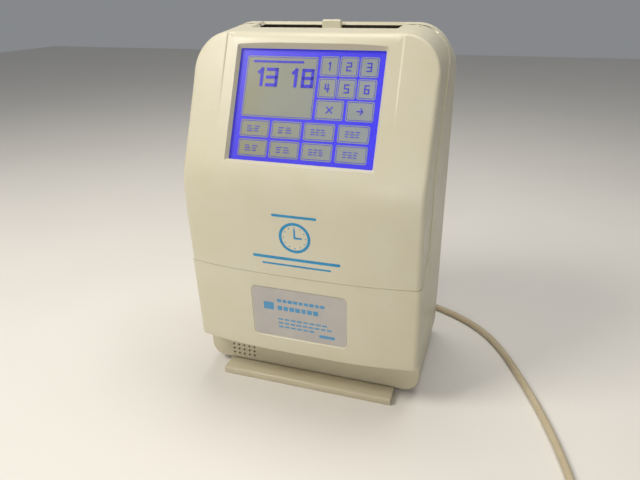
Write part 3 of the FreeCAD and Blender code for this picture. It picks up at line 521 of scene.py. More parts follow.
def connector_nylon():
    made = Finish("connector_nylon", (224, 218, 196))
    made.set_rough(0.45, 0.06, 120).mottle((204, 190, 152), 60, 0.6)
    return made.grain(900, 0.02).done(0.6)


def copper_winding():
    """Enamelled wire in close turns."""
    made = Finish("enamelled_wire", (150, 72, 30), metallic=0.6, coat=0.4)
    made.set_rough(0.3, 0.08, 150).mottle((190, 104, 46), 90, 0.6)
    made.grain(900, 0.12, 1, (0.2, 0.2, 1))
    return made.done(0.8)


def battery_sleeve():
    made = Finish("battery_sleeve", (52, 110, 150), coat=0.3)
    made.set_rough(0.3, 0.06, 80).mottle((38, 84, 124), 50, 0.5)
    made.tint((176, 176, 170), made.ramp(made.along("Y"), 0.012, 0.014, 0, 0.9))
    return made.grain(300, 0.03).done(0.6)


def ribbon_fabric():
    made = Finish("inked_ribbon", (30, 28, 44), specular=0.2)
    made.set_rough(0.85, 0.06, 200).mottle((58, 52, 84), 90, 0.6)
    return made.grain(3500, 0.05, 1, (1, 1, 0.3)).done(0.8)


def screw_steel():
    made = Finish("blackened_screws", (92, 92, 94), metallic=0.95)
    made.set_rough(0.34, 0.1, 300).mottle((58, 58, 60), 240, 0.6)
    return made.specks((150, 146, 136), 900, 0.68, 0.5).grain(1800, 0.02).done(0.6)


def cord_vinyl():
    """Soft beige vinyl, shiny where it is handled."""
    made = Finish("cord_vinyl", (186, 172, 142), coat=0.12)
    made.set_rough(0.42, 0.07, 60).mottle((168, 150, 118), 25, 0.6).mottle((202, 190, 164), 70, 0.3)
    made.shader.inputs["Subsurface Weight"].default_value = 0.05
    return made.specks((120, 104, 80), 300, 0.72, 0.4).grain(900, 0.03).done(0.6)


def blade_brass():
    made = Finish("nickelled_blade", (200, 190, 160), metallic=1.0)
    made.set_rough(0.26, 0.08, 120, (8, 1, 1)).mottle((176, 158, 112), 90, 0.5)
    return made.scratches(0.01, 120, (1, 14, 14)).done(0.6)


def label_film():
    made = Finish("label_film", (178, 172, 166), coat=0.15)
    made.set_rough(0.4, 0.07, 70).mottle((164, 162, 160), 20, 0.5).mottle((192, 186, 176), 60, 0.4)
    return made.specks((120, 118, 110), 500, 0.74, 0.4).grain(700, 0.01).done(0.6)


def printed_ink(name, colour, worn):
    made = Finish(name, colour)
    made.set_rough(0.4, 0.06, 200).mottle(worn, 160, 0.5).specks(worn, 900, 0.66, 0.6)
    return made.grain(2000, 0.01).done(0.5)


def display_glow(name, colour, second, strength, cell=0.00045):
    """A lit liquid-crystal area: its own faint cells, and a tint that drifts across the panel."""
    made = Finish(name, colour, specular=0.3)
    made.set_rough(0.35, 0.05, 60)
    across = made.ramp(made.along("X"), -0.06, 0.06, 1, 0)
    made.tint(second, across)
    rows = made.nodes.new("ShaderNodeTexChecker")
    rows.inputs["Scale"].default_value = 1 / cell
    made.links.new(made.where, rows.inputs["Vector"])
    made.add_height(made.ramp(rows.outputs["Fac"], 0, 1, 0, 0.00002))
    made.mottle(colour, 40, 0.35)
    made.links.new(made.colour, made.shader.inputs["Emission Color"])
    made.shader.inputs["Emission Strength"].default_value = strength
    return made.done(0.3)


def clear_film():
    """The touch panel: a thin clear sheet with faint finger marks."""
    made = Finish("touch_film", (120, 124, 138), specular=0.4)
    made.set_rough(0.16, 0.08, 60)
    made.mottle((150, 152, 156), 30, 0.5)
    made.shader.inputs["Alpha"].default_value = 0.06
    return made.grain(60, 0.02).done(0.25)


def back_sheet():
    made = Finish("painted_back_sheet", (150, 148, 140), metallic=0.3)
    made.set_rough(0.5, 0.08, 60).mottle((132, 130, 120), 22, 0.5)
    return made.grain(1500, 0.02).scratches(0.01, 30, (1, 1, 8)).done(0.6)


HOUSING = moulded_plastic()
DARK = dark_plastic()
ZINC = sheet_steel()
STEEL = ground_steel()
BRONZE = brass()
RUBBER = rubber()
NYLON = gear_nylon()
CAN = motor_can()
BOARD = circuit_board()
CHIP = chip_black()
CONNECTOR = connector_nylon()
COPPER = copper_winding()
SLEEVE = battery_sleeve()
RIBBON = ribbon_fabric()
SCREWS = screw_steel()
VINYL = cord_vinyl()
BLADE = blade_brass()
LABEL = label_film()
MARK_INK = printed_ink("mark_ink", (0, 128, 180), (70, 160, 190))
LABEL_INK = printed_ink("label_ink", (62, 140, 186), (120, 158, 184))
FILM = clear_film()
BACK = back_sheet()
PANEL_BLUE = display_glow("display_border", (52, 42, 226), (66, 54, 214), 0.34)
PANE_GREY = display_glow("display_pane", (142, 150, 152), (142, 140, 106), 0.16)
FIGURE_BLUE = display_glow("display_figure", (46, 36, 206), (58, 44, 196), 0.18)

NODE_FINISHES = (
    (STEEL, ("hinge_pins", "carriage_rods", "feed_shaft", "pinch_shaft", "feed_motor_shaft",
             "carriage_screw")),
    (HOUSING, ("card_throat", "card_tab")),
    (ZINC, ("front_guide", "rear_guide", "left_side_plate", "right_side_plate", "chassis_floor",
            "transformer_core")),
    (BRONZE, ("chassis_posts", "roller_bushes", "screw_bushes", "board_pillars", "display_standoffs")),
    (CAN, ("feed_motor", "carriage_motor", "lcd_module", "print_head")),
    (RUBBER, ("platen", "rubber_feet", "feed_rollers", "pinch_rollers")),
    (DARK, ("ribbon_cassette", "speaker", "print_carriage", "ribbon_knob")),
    (RIBBON, ("ribbon_tape",)),
    (BOARD, ("main_board", "supply_board", "display_board")),
    (CHIP, ("board_chips", "card_sensor")),
    (CONNECTOR, ("board_connectors",)),
    (COPPER, ("transformer_winding",)),
    (SLEEVE, ("backup_battery",)),
    (BACK, ("back_plate",)),
    (SCREWS, ("back_screws",)),
    (BLADE, ("plug_blades",)),
    (FILM, ("touch_panel",)),
    (NYLON, ("feed_gear", "motor_pinion")),
)


def dress(obj, material):
    obj.data.materials.clear()
    obj.data.materials.append(material)
    return obj


def finish_nodes():
    """Gives each CAD piece that stays in view its material and smooth round faces."""
    for material, names in NODE_FINISHES:
        for name in names:
            shade(dress(NODES[name], material), 30)


# Camera, floor and light


CAMERA_AZIMUTH = 18.4
CAMERA_ELEVATION = 23.8
CAMERA_ROLL = -0.6
CAMERA_PLACE = (149.47, -458.30, 337.88)
CAMERA_LENS = 31.63


def camera():
    """The camera stands to the right of the clock and looks down on it."""
    azimuth, elevation, roll = (
        math.radians(angle) for angle in (CAMERA_AZIMUTH, CAMERA_ELEVATION, CAMERA_ROLL))
    back = Vector((math.sin(azimuth) * math.cos(elevation), -math.cos(azimuth) * math.cos(elevation),
                   math.sin(elevation)))
    right = (-back).cross(Vector((0, 0, 1))).normalized()
    up = right.cross(-back)
    turned_right = math.cos(roll) * right + math.sin(roll) * up
    turned_up = -math.sin(roll) * right + math.cos(roll) * up
    data = bpy.data.cameras.new("camera")
    data.sensor_width = 36
    data.lens = CAMERA_LENS
    data.clip_start = 0.02
    made = placed("camera", data)
    place = Matrix((turned_right, turned_up, back)).transposed().to_4x4()
    place.translation = Vector(CAMERA_PLACE) * MM
    made.matrix_world = place
    bpy.context.scene.camera = made


def area_light(name, at, target, size, power, colour=(1, 1, 1)):
    data = bpy.data.lights.new(name, "AREA")
    data.shape = "RECTANGLE"
    data.size, data.size_y = size
    data.energy = power
    data.color = colour
    made = placed(name, data)
    made.location = at
    made.rotation_euler = (Vector(target) - Vector(at)).to_track_quat("-Z", "Y").to_euler()


def studio():
    """A pale floor under soft light that comes mostly from above and the left."""
    size = 3.0
    corners = [(sx * size, sy * size, 0) for sx, sy in ((-1, -1), (1, -1), (1, 1), (-1, 1))]
    floor = mesh_object("floor", corners, [(0, 1, 2, 3)], 1.0)
    pale = Finish("floor_pale", (226, 222, 214))
    pale.set_rough(0.5, 0.04, 8).mottle((220, 215, 206), 3, 0.4)
    dress(floor, pale.done())
    world = bpy.data.worlds.new("studio")
    world.use_nodes = True
    world.node_tree.nodes["Background"].inputs["Color"].default_value = (0.92, 0.95, 1.0, 1)
    world.node_tree.nodes["Background"].inputs["Strength"].default_value = 0.26
    bpy.context.scene.world = world
    middle = (0, 0, 0.16)
    area_light("key", (-0.70, -0.60, 1.15), middle, (0.5, 0.5), 12, (1.0, 0.96, 0.90))
    area_light("top", (0.05, 0.25, 1.30), middle, (0.9, 0.5), 8, (1.0, 0.97, 0.93))
    area_light("front", (0.22, -1.5, 0.55), middle, (0.35, 0.35), 5, (1.0, 0.97, 0.94))
    bpy.context.scene.view_settings.view_transform = "Standard"


# Mains cord: a listed route, then a put-away coil outside the view

CORD_RADIUS = 3.2
CORD_ROUTE = [
    (-20, 95, 20),
    (-20, 115, 20),
    (-10, 135.5, 15),
    (9, 148, 8),
    (40, 147, 3.5),
    (88, 124.5, 3.3),
    (128, 104, 3.3),
    (155, 80.5, 3.3),
    (175, 49, 3.3),
    (192, 9, 3.3),
    (207, -31, 3.3),
    (219, -70, 3.3),
    (228, -108, 3.3),
    (232, -140, 3.3),
    (232, -166, 3.3),
]
COIL_CENTRE = (190, -192)
COIL_RINGS = (42, 35.5, 29)
COIL_LOW = 3.3
COIL_HIGH = 9.7
COIL_TURNS = 5.25
POINTS_PER_TURN = 16


def between(angle, changes, start):
    """A value that starts at start and eases to a new one over each (from, to, value) span of the winding."""
    value = start
    for low, high, goal in changes:
        value += (goal - value) * float(step((angle - low) / (high - low)))
    return value


def coil_points():
    """Turns of the put-away coil: three rings inward on the table, then back out on top of them."""
    outer, middle, inner = COIL_RINGS
    radii = ((300, 360, middle), (660, 720, inner), (1200, 1290, middle), (1560, 1650, outer))
    spread = 1 / (0.75 + 0.25 * math.cos(2 * math.pi / POINTS_PER_TURN))
    points = []
    for i in range(int(COIL_TURNS * POINTS_PER_TURN)):
        angle = 360 * (i + 0.5) / POINTS_PER_TURN
        radius = between(angle, radii, outer) * spread
        height = between(angle, ((930, 1020, COIL_HIGH),), COIL_LOW)
        turn = math.radians(-angle)
        points.append((COIL_CENTRE[0] + radius * math.cos(turn),
                       COIL_CENTRE[1] + radius * math.sin(turn), height))
    return points


def cord():
    """The cord, its tapered relief and its plug."""
    lead_y = COIL_CENTRE[1] - COIL_RINGS[0]
    lead_out = [(181, lead_y - 0.6, COIL_HIGH), (164, lead_y, COIL_HIGH)]
    route = CORD_ROUTE + coil_points() + lead_out
    data = bpy.data.curves.new("mains_cord", "CURVE")
    data.dimensions = "3D"
    line = data.splines.new("NURBS")
    line.points.add(len(route) - 1)
    for point, (x, y, z) in zip(line.points, route):
        point.co = (x * MM, y * MM, z * MM, 1)
    line.order_u = 3
    line.use_endpoint_u = True
    line.resolution_u = 10
    data.bevel_depth = CORD_RADIUS * MM
    data.bevel_resolution = 6
    data.use_fill_caps = True
    made = placed("mains_cord", data)
    dress(made, VINYL)
    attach(made, "case")
    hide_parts("power_cord", "cord_coil")
    plug = mains_plug()
    relief = strain_relief()


RELIEF_THROAT = 5.4
RELIEF_RIBS = 6
RELIEF_PLAIN = 4.6
RELIEF_WIDE = 6.1


def strain_relief():
    """A ribbed sleeve that tapers from the rear wall to the cord."""
    low, high = (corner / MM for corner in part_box("strain_relief"))
    x, z = (low.x + high.x) / 2, (low.z + high.z) / 2
    root = REAR_Y
    length = high.y - root
    stations = [(low.y + 0.2, RELIEF_THROAT), (root - 0.2, RELIEF_THROAT), (root + 0.01, 6.4),
                (root + 1.6, 6.5), (root + 2.2, RELIEF_WIDE)]
    width = (length - RELIEF_PLAIN) / RELIEF_RIBS
    for rib in range(RELIEF_RIBS):
        start = root + 2.6 + rib * (length - RELIEF_PLAIN) / RELIEF_RIBS
        wide = RELIEF_WIDE - 2.0 * rib / RELIEF_RIBS
        stations += [(start, wide - 0.8), (start + 0.3 * width, wide - 0.75), (start + 0.45 * width, wide),
                     (start + 0.85 * width, wide - 0.1)]
    stations += [(high.y - 1.4, 3.9), (high.y - 0.3, 3.8), (high.y, 3.4)]
    rings = [[(x + a, y, z + b) for a, b in circle(radius, 40)] for y, radius in stations]
    made = shade(loft("cord_relief", rings), 38)
    dress(made, DARK)
    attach(made, "case")
    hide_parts("strain_relief")
    return made


def mains_plug():
    """A moulded two-blade plug: ribbed neck, waisted grip and a flat front face."""
    low, high = (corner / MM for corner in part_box("plug_body"))
    y, z = (low.y + high.y) / 2, (low.z + high.z) / 2
    length = high.x - low.x
    deep, tall = high.y - low.y, high.z - low.z
    shares = [(0.0, 3.6, 3.6), (0.04, 3.9, 3.9), (0.08, 4.5, 4.4), (0.12, 4.0, 3.9), (0.17, 5.0, 4.8),
              (0.21, 4.4, 4.3), (0.26, 5.6, 5.4), (0.30, 5.0, 4.9), (0.36, 6.4, 6.1), (0.44, 8.6, 7.0),
              (0.52, 10.8, 8.2), (0.60, 11.7, 8.8), (0.68, 11.2, 8.3), (0.76, 10.9, 8.0), (0.84, 11.4, 8.4),
              (0.92, 11.9, 8.9), (0.975, 11.8, 8.8), (1.0, 11.1, 8.2)]
    rings = []
    for share, half_deep, half_tall in shares:
        half_deep = min(half_deep, deep / 2)
        half_tall = min(half_tall, tall / 2)
        corner = min(half_deep, half_tall) * (0.98 if share < 0.4 else 0.55)
        outline = rounded(2 * half_deep, 2 * half_tall, corner, 7, (y, z))
        rings.append([(high.x - share * length, a, b) for a, b in outline])
    made = shade(loft("mains_plug", rings), 50)
    dress(made, VINYL)
    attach(made, "case")
    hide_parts("plug_body")
    return made


# Housing


CORNER_STEPS = (0, 0.7, 1.5, 2.5, 4, 6, 9, 13)
CAP_STEPS = (0.4, 0.9, 1.5, 2.2, 3, 4, 5.5, 8, 12, 18, 26, 36, 48, 62, 76, 90)
CAP_DEPTH = 110


def spread(low, high, count, closed=False):
    """Evenly spaced values from low up to high, which is among them only when closed."""
    return [low + (high - low) * i / count for i in range(count + 1 if closed else count)]


def profile_loop(inset):
    """Points round the housing's side profile, closest together at its corners."""
    corners = [
        (BASE_FRONT_Y + inset, BASE_Z + inset),
        (BASE_FRONT_Y + inset, LOW_FRONT[1] + inset),
        (LOW_FRONT[0] + inset, LOW_FRONT[1] + inset),
        (BULGE[0] + inset, BULGE[1]),
        (BROW[0] + inset, BROW[1] - inset),
        (RIDGE[0], RIDGE[1] - inset),
        (TAIL[0] - inset, TAIL[1] - inset),
        (TAIL[0] - inset, BASE_Z + inset),
    ]
    points = []
    for start, end in zip(corners, corners[1:] + corners[:1]):
        length = math.hypot(end[0] - start[0], end[1] - start[1])
        marks = [mark for mark in CORNER_STEPS if mark < length / 2]
        count = max(1, round((length - 2 * marks[-1]) / 5))
        middle = spread(marks[-1], length - marks[-1], count, True)
        ends = [length - mark for mark in reversed(marks[1:-1])]
        for distance in marks[:-1] + middle + ends:
            share = distance / length
            points.append((start[0] + (end[0] - start[0]) * share, start[1] + (end[1] - start[1]) * share))
    return points


def across(half):
    """Places of the columns across the housing, closest at the flank step and the corners."""
    fine = spread(0, 64, 16) + spread(64, 70.4, 5) + spread(70.4, 74, 12)
    fine += spread(74, half - 14, 6) + spread(half - 14, half - 4, 8)
    fine += [half - 4, half - 3, half - 2.2, half - 1.5, half - 0.9, half - 0.4, half]
    return [-x for x in reversed(fine[1:])] + fine


def bowed(loop, x, proud):
    """The profile at one place across, its front set back as the housing's is."""
    made = []
    for y, z in loop:
        if z > 200:
            share = min(max((5 - y) / 25, 0), 1)
        else:
            share = min(max((BASE_FRONT_Y - y) / 14, 0), 1)
        made.append((x, y + share * float(set_back(x, z, proud)), z))
    return made


def form(name, inset, skin):
    """A closed skin of the housing, at one depth under its outer surface."""
    proud, half = skin
    loop = profile_loop(inset)
    rings = [bowed(loop, x, proud) for x in across(half - inset)]
    caps = []
    for distance in CAP_STEPS:
        share = 1 - distance / CAP_DEPTH
        caps.append([(x, CENTRE[0] + (y - CENTRE[0]) * share, CENTRE[1] + (z - CENTRE[1]) * share)
                     for x, y, z in rings[-1]])
    rings = [[(-x, y, z) for x, y, z in ring] for ring in reversed(caps)] + rings + caps
    points = settle(np.array(rings, float).reshape(-1, 3), skin, -inset)
    shape = points.reshape(len(rings), len(loop), 3)
    made = loft(name, [[tuple(p) for p in ring] for ring in shape])
    return triangulated(made)


def flip(obj):
    obj.data.flip_normals()
    return obj


def cover_outline(gap):
    """Side outline of the space that the front cover takes."""
    low = SEAM_Z - gap
    rear = SEAM_Y + gap
    deep, tall = SEAM_BEND
    bend = [(rear - deep + deep * math.sin(t), low + tall - tall * math.cos(t))
            for t in (math.radians(90 * i / 14) for i in range(15))]
    top_y = COVER_TOP_Y + gap
    before, over = -150, 360
    return [(before, low)] + bend + [(rear, SEAM_TOP_Z - gap), (rear + SEAM_LEDGE[0], SEAM_LEDGE[1] - gap),
                                     (top_y, HINGE_LEDGE_Z - gap), (top_y, over), (before, over)]


def on_display(point):
    """A point on the display's own axes (across, up the face, outward), in the housing's."""
    across_face, up_face, out = point
    sine, cosine = math.sin(FACE_TILT), math.cos(FACE_TILT)
    return (across_face + DISPLAY.x, DISPLAY.y + up_face * sine - out * cosine,
            DISPLAY.z + up_face * cosine + out * sine)


def display_prism(name, outlines):
    """A loft between (depth, outline) pairs on the display's axes."""
    return loft(name, [[on_display((a, b, depth)) for a, b in outline] for depth, outline in outlines])


def window_cutter():
    """The tapered opening in front of the display, with small round corners."""
    wide, tall = WINDOW
    grow = 3 * BEVEL
    low = (STRAIGHT_TOP, rounded(wide, tall, 1.0, 4))
    high = (3 * BEVEL_DEPTH, rounded(wide + 2 * grow, tall + 2 * grow, 2.2, 4))
    return display_prism("window_cutter", [(-20, low[1]), low, high])


def knuckle_rods(name, spots, radius, grow=0.0):
    """Barrels on the hinge line at the given spots, on both sides."""
    barrel = circle(radius, 36, (COVER_TOP_Y, HINGE_Z))
    made = []
    for side in (-1, 1):
        for spot in spots:
            low = KNUCKLE_IN + spot * KNUCKLE_STEP - grow
            high = low + KNUCKLE_LENGTH + 2 * grow
            made.append(prism(name, barrel, *sorted((side * low, side * high)), "x"))
    return made


def webs(name, spots, y_low, y_high):
    """Blocks that tie the knuckles to a shell."""
    z_low, z_high = HINGE_Z - 0.2, HINGE_Z + 2.4
    outline = [(y_low, z_low), (y_high, z_low), (y_high, z_high), (y_low, z_high)]
    made = []
    for side in (-1, 1):
        for spot in spots:
            low = KNUCKLE_IN + spot * KNUCKLE_STEP
            made.append(prism(name, outline, *sorted((side * low, side * (low + KNUCKLE_LENGTH))), "x"))
    return made


SLOT_FLARE = 5.5


def slot_cutter():
    """The card slot's opening, flared at its top edge."""
    depth = SLOT_REAR_Y - SLOT_FRONT_Y
    middle = (SLOT_FRONT_Y + SLOT_REAR_Y) / 2
    rings = []
    for height, grow in ((THROAT_LOW.z - 2, 0), (THROAT_HIGH.z + 1.0, 0), (THROAT_HIGH.z + 8, SLOT_FLARE)):
        rings.append([(a, b, height) for a, b in
                      rounded(2 * SLOT_HALF + 2 * grow, depth + grow, 1.2, 4, (0, middle))])
    return loft("slot_cutter", rings)


GRILLE = (-68, 17)
GRILLE_STEPS = (5.4, 4.8)
GRILLE_RADIUS = 1.2
REAR_OPENING = (BASE_Z + 14.4, TAIL[1] - 21.6)
SCREW_X = HALF_WIDTH - 13.5
SCREW_HEIGHTS = (REAR_OPENING[0] + 9.6, sum(REAR_OPENING) / 2, REAR_OPENING[1] - 9.6)
LABEL_SIZE = (86, 50.6)
LABEL_MIDDLE = 82.25
LABEL_DEPTH = 1.0
LOWER_LEAN = math.atan2(LOW_FRONT[0] - BULGE[0], BULGE[1] - LOW_FRONT[1])


def on_lower_face(point):
    """A point on the lower front's own axes (across, up the face, outward), in the housing's."""
    across_face, up_face, out = point
    sine, cosine = math.sin(LOWER_LEAN), math.cos(LOWER_LEAN)
    y = LOW_FRONT[0] - (LABEL_MIDDLE - LOW_FRONT[1]) * math.tan(LOWER_LEAN)
    return (across_face, y - up_face * sine - out * cosine, LABEL_MIDDLE + up_face * cosine - out * sine)


def face_loft(name, outlines):
    return loft(name, [[on_lower_face((a, b, depth)) for a, b in outline] for depth, outline in outlines])


def case_cutters():
    """Openings of the main case that lie clear of each other."""
    made = [prism("grille", circle(GRILLE_RADIUS, 20, (GRILLE[0] + (column - 2) * GRILLE_STEPS[0],
                                                     GRILLE[1] + (row - 1) * GRILLE_STEPS[1])),
                  BASE_FRONT_Y - 3, BASE_FRONT_Y + WALL + 3, "y")
            for column in range(5) for row in range(3)]
    made.append(face_loft("label_recess", [(-LABEL_DEPTH, rounded(*LABEL_SIZE, 4.5)),
                                           (3, rounded(LABEL_SIZE[0] + 5.6, LABEL_SIZE[1] + 5.6, 7))]))
    relief_low, relief_high = (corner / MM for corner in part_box("strain_relief"))
    cord_at = ((relief_low.x + relief_high.x) / 2, (relief_low.z + relief_high.z) / 2)
    made.append(prism("cord_hole", circle(5.65, 32, cord_at), REAR_Y - 10, REAR_Y + 10, "y"))
    return made


def rear_cutters():
    """The large rear opening and the screw holes round it."""
    low, high = REAR_OPENING
    opening = rounded(2 * (HALF_WIDTH - 18), high - low, 6, 6, (0, (low + high) / 2))
    made = [prism("rear_opening", opening, REAR_Y - 10, REAR_Y + 10, "y")]
    for x in (-SCREW_X, SCREW_X):
        for z in SCREW_HEIGHTS:
            made.append(prism("screw_sink", circle(3.2, 24, (x, z)), REAR_Y - 2, REAR_Y + 6, "y"))
            made.append(prism("screw_hole", circle(1.5, 24, (x, z)), REAR_Y - 8, REAR_Y + 6, "y"))
    return made


def true_normals(obj, skin):
    """Shades the outer skin by the housing's own slope, so that cuts don't ripple it."""
    mesh = obj.data
    shade(obj, 30)
    count = len(mesh.loops)
    corners = np.zeros(count * 3, np.float32)
    mesh.corner_normals.foreach_get("vector", corners)
    corners = corners.reshape(-1, 3)
    vertex_of = np.zeros(count, np.int32)
    mesh.loops.foreach_get("vertex_index", vertex_of)
    places = np.zeros(len(mesh.vertices) * 3, np.float32)
    mesh.vertices.foreach_get("co", places)
    places = places.reshape(-1, 3).astype(float) / MM
    faces = np.zeros(len(mesh.polygons) * 3, np.float32)
    mesh.polygons.foreach_get("normal", faces)
    faces = faces.reshape(-1, 3)
    face_of = np.zeros(count, np.int32)
    for polygon in mesh.polygons:
        face_of[polygon.loop_start:polygon.loop_start + polygon.loop_total] = polygon.index
    on_skin = np.abs(housing_distance(places, skin)) < 0.05
    outward_slope = slope(places, skin)
    same_way = (faces[face_of] * outward_slope[vertex_of]).sum(1) > 0.75
    use = on_skin[vertex_of] & same_way
    corners[use] = outward_slope[vertex_of][use]
    mesh.normals_split_custom_set([tuple(normal) for normal in corners])


def housing():
    """The two shells of the housing, cut from one hollow form along the seam."""
    case = join([form("case_shell", 0, CASE_SKIN), flip(form("case_inside", WALL, INNER_SKIN))])
    cover = join([form("cover_shell", 0, COVER_SKIN), flip(form("cover_inside", WALL, INNER_SKIN))])

    combine(cover, prism("zone", cover_outline(0), -130, 130, "x"), "INTERSECT")
    wide, tall = WINDOW
    block = rounded(wide + 2 * FRAME_RIM, tall + 2 * FRAME_RIM, 3, 5)
    rim = display_prism("window_frame", [(FRAME_FLOOR, block), (FRAME_TOP, block)])
    combine(rim, form("frame_room", 1.3, COVER_SKIN), "INTERSECT")
    combine(cover, rim, "UNION")
    combine(cover, window_cutter(), "DIFFERENCE")
    combine(cover, slot_cutter(), "DIFFERENCE")
    combine(cover, join(knuckle_rods("case_room", (1,), HINGE_CLEAR, 0.3)), "DIFFERENCE")
    cover_webs = webs("cover_web", (0, 2), COVER_TOP_Y - 8.4, COVER_TOP_Y - 1.6)
    for piece in knuckle_rods("cover_knuckle", (0, 2), KNUCKLE_RADIUS) + cover_webs:
        combine(cover, piece, "UNION")

    combine(case, prism("zone", cover_outline(SEAM_GAP), -130, 130, "x"), "DIFFERENCE")
    combine(case, slot_cutter(), "DIFFERENCE")
    combine(case, join(case_cutters()), "DIFFERENCE")
    combine(case, join(rear_cutters()), "DIFFERENCE", True)
    groove = prism("groove", circle(HINGE_CLEAR, 40, (COVER_TOP_Y, HINGE_Z)), -130, 130, "x")
    combine(case, groove, "DIFFERENCE")
    case_webs = webs("case_web", (1,), COVER_TOP_Y + 1.6, COVER_TOP_Y + 8.4)
    for piece in knuckle_rods("case_knuckle", (1,), KNUCKLE_RADIUS) + case_webs:
        combine(case, piece, "UNION")

    for shell, skin, body, node in ((case, CASE_SKIN, "case", "main_case"),
                                    (cover, COVER_SKIN, "cover", "front_cover")):
        true_normals(shell, skin)
        dress(shell, HOUSING)
        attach(shell, body)
        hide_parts(node)


# Display


def screen_loft(name, outline, low, high, material):
    made = display_prism(name, [(low, outline), (high, outline)])
    return dress(shade(made, 30), material)


def cell(left, right, top, bottom):
    """Centre and size of a screen area given as shares of the window, from its top left."""
    wide, tall = WINDOW
    return (((left + right) / 2 - 0.5) * wide, (0.5 - (top + bottom) / 2) * tall), \
        ((right - left) * wide, (bottom - top) * tall)


SCREEN_BACK = -4.2
SCREEN_FRONT = -1.9
TILE_FRONT = -1.62
FIGURE_FRONT = -1.4

MAIN_PANE = (0.045, 0.553, 0.055, 0.605)
NUMBER_KEYS = [(x, x + 0.125, y, y + 0.175) for y in (0.045, 0.235) for x in (0.572, 0.703, 0.838)]
WIDE_KEYS = [(0.572, 0.762, 0.425, 0.60), (0.78, 0.965, 0.425, 0.60)]
LOWER_KEYS = [(x, x + 0.212, y, y + 0.155) for y in (0.632, 0.808) for x in (0.05, 0.278, 0.508, 0.742)]


def tiles():
    """Grey-green areas of the screen, each with a raised outline of blue."""
    light, outline_ring = [], []
    for area in [MAIN_PANE] + NUMBER_KEYS + WIDE_KEYS + LOWER_KEYS:
        at, (wide, tall) = cell(*area)
        light.append(display_prism("tile", [(SCREEN_FRONT - 0.2, rounded(wide, tall, 1.8, 5, at)),
                                            (TILE_FRONT, rounded(wide, tall, 1.8, 5, at))]))
        inside = rounded(wide - 2.4, tall - 2.4, 1.2, 5, at)
        ring_out = rounded(wide - 1.5, tall - 1.5, 1.5, 5, at)
        ring = [[on_display((a, b, depth)) for a, b in line] for depth, line in
                ((TILE_FRONT - 0.1, ring_out), (TILE_FRONT + 0.05, ring_out),
                 (TILE_FRONT + 0.05, inside), (TILE_FRONT - 0.1, inside))]
        outline_ring.append(loft("ring", ring + ring[:1], True, False))
    return join(light), join(outline_ring)


def block_figure(strokes, at, size, thick):
    """A figure of straight strokes between points on a unit square, drawn as overlapping bars."""
    made = []
    for (x0, y0), (x1, y1) in strokes:
        start = Vector((at[0] + (x0 - 0.5) * size[0], at[1] + (y0 - 0.5) * size[1]))
        end = Vector((at[0] + (x1 - 0.5) * size[0], at[1] + (y1 - 0.5) * size[1]))
        way = (end - start).normalized()
        start, end = start - way * thick / 2, end + way * thick / 2
        aside = Vector((-way.y, way.x)) * thick / 2
        bar = [start + aside, start - aside, end - aside, end + aside]
        made.append(display_prism("stroke", [(depth, [(p.x, p.y) for p in bar])
                                             for depth in (TILE_FRONT - 0.1, FIGURE_FRONT)]))
    return made


TOP, MIDDLE, BOTTOM = ((0, 1), (1, 1)), ((0, 0.5), (1, 0.5)), ((0, 0), (1, 0))
UPPER_LEFT, LOWER_LEFT = ((0, 0.5), (0, 1)), ((0, 0), (0, 0.5))
UPPER_RIGHT, LOWER_RIGHT = ((1, 0.5), (1, 1)), ((1, 0), (1, 0.5))
CROSS = [((0, 0), (1, 1)), ((0, 1), (1, 0))]
ARROW = [((0, 0.5), (1, 0.5)), ((1, 0.5), (0.6, 1)), ((1, 0.5), (0.6, 0))]
FIGURES = {
    "1": [((0.6, 0), (0.6, 1)), ((0.6, 1), (0.3, 0.82))],
    "2": [TOP, UPPER_RIGHT, MIDDLE, LOWER_LEFT, BOTTOM],
    "3": [TOP, MIDDLE, BOTTOM, UPPER_RIGHT, LOWER_RIGHT],
    "4": [((0.7, 0), (0.7, 1)), ((0, 0.38), (1, 0.38)), ((0, 0.38), (0.1, 1))],
    "5": [TOP, UPPER_LEFT, MIDDLE, LOWER_RIGHT, BOTTOM],
    "6": [TOP, UPPER_LEFT, LOWER_LEFT, MIDDLE, LOWER_RIGHT, BOTTOM],
    "8": [TOP, MIDDLE, BOTTOM, UPPER_LEFT, LOWER_LEFT, UPPER_RIGHT, LOWER_RIGHT],
}


def dash(area, thick):
    """A plain bar that stands in for a line of writing."""
    at, (wide, tall) = cell(*area)
    return block_figure([((0, 0.5), (1, 0.5))], at, (wide, tall), thick)


def figures():
    """Time, key numbers and plain bars for the key words."""
    made = []
    for mark, left in (("1", 0.115), ("3", 0.195), ("1", 0.36), ("8", 0.45)):
        at, size = cell(left + 0.01, left + 0.075, 0.175, 0.315)
        made += block_figure(FIGURES[mark], at, size, 2.5)
    for mark, area in zip("123456", NUMBER_KEYS):
        at, (wide, tall) = cell(*area)
        made += block_figure(FIGURES[mark], at, (wide * 0.22, tall * 0.38), 0.85)
    for area, strokes in zip(WIDE_KEYS, (CROSS, ARROW)):
        at, (wide, tall) = cell(*area)
        made += block_figure(strokes, at, (wide * 0.2, tall * 0.3), 0.8)
    for i in range(7):
        made += dash((0.10 + 0.052 * i, 0.135 + 0.052 * i, 0.085, 0.125), 1.7)
    for index, (left, right, top, bottom) in enumerate(LOWER_KEYS):
        wide = right - left
        parts = 2 if index % 4 < 2 else 3
        for k in range(parts):
            start = left + wide * (0.25 + 0.5 * k / parts)
            for share in (0.38, 0.52, 0.66):
                level = top + (bottom - top) * share
                reach = wide * 0.34 / parts * (0.75 + 0.25 * ((index + k + round(share * 10)) % 2))
                made += dash((start, start + reach, level - 0.01, level + 0.01), 0.55)
    return join(made)


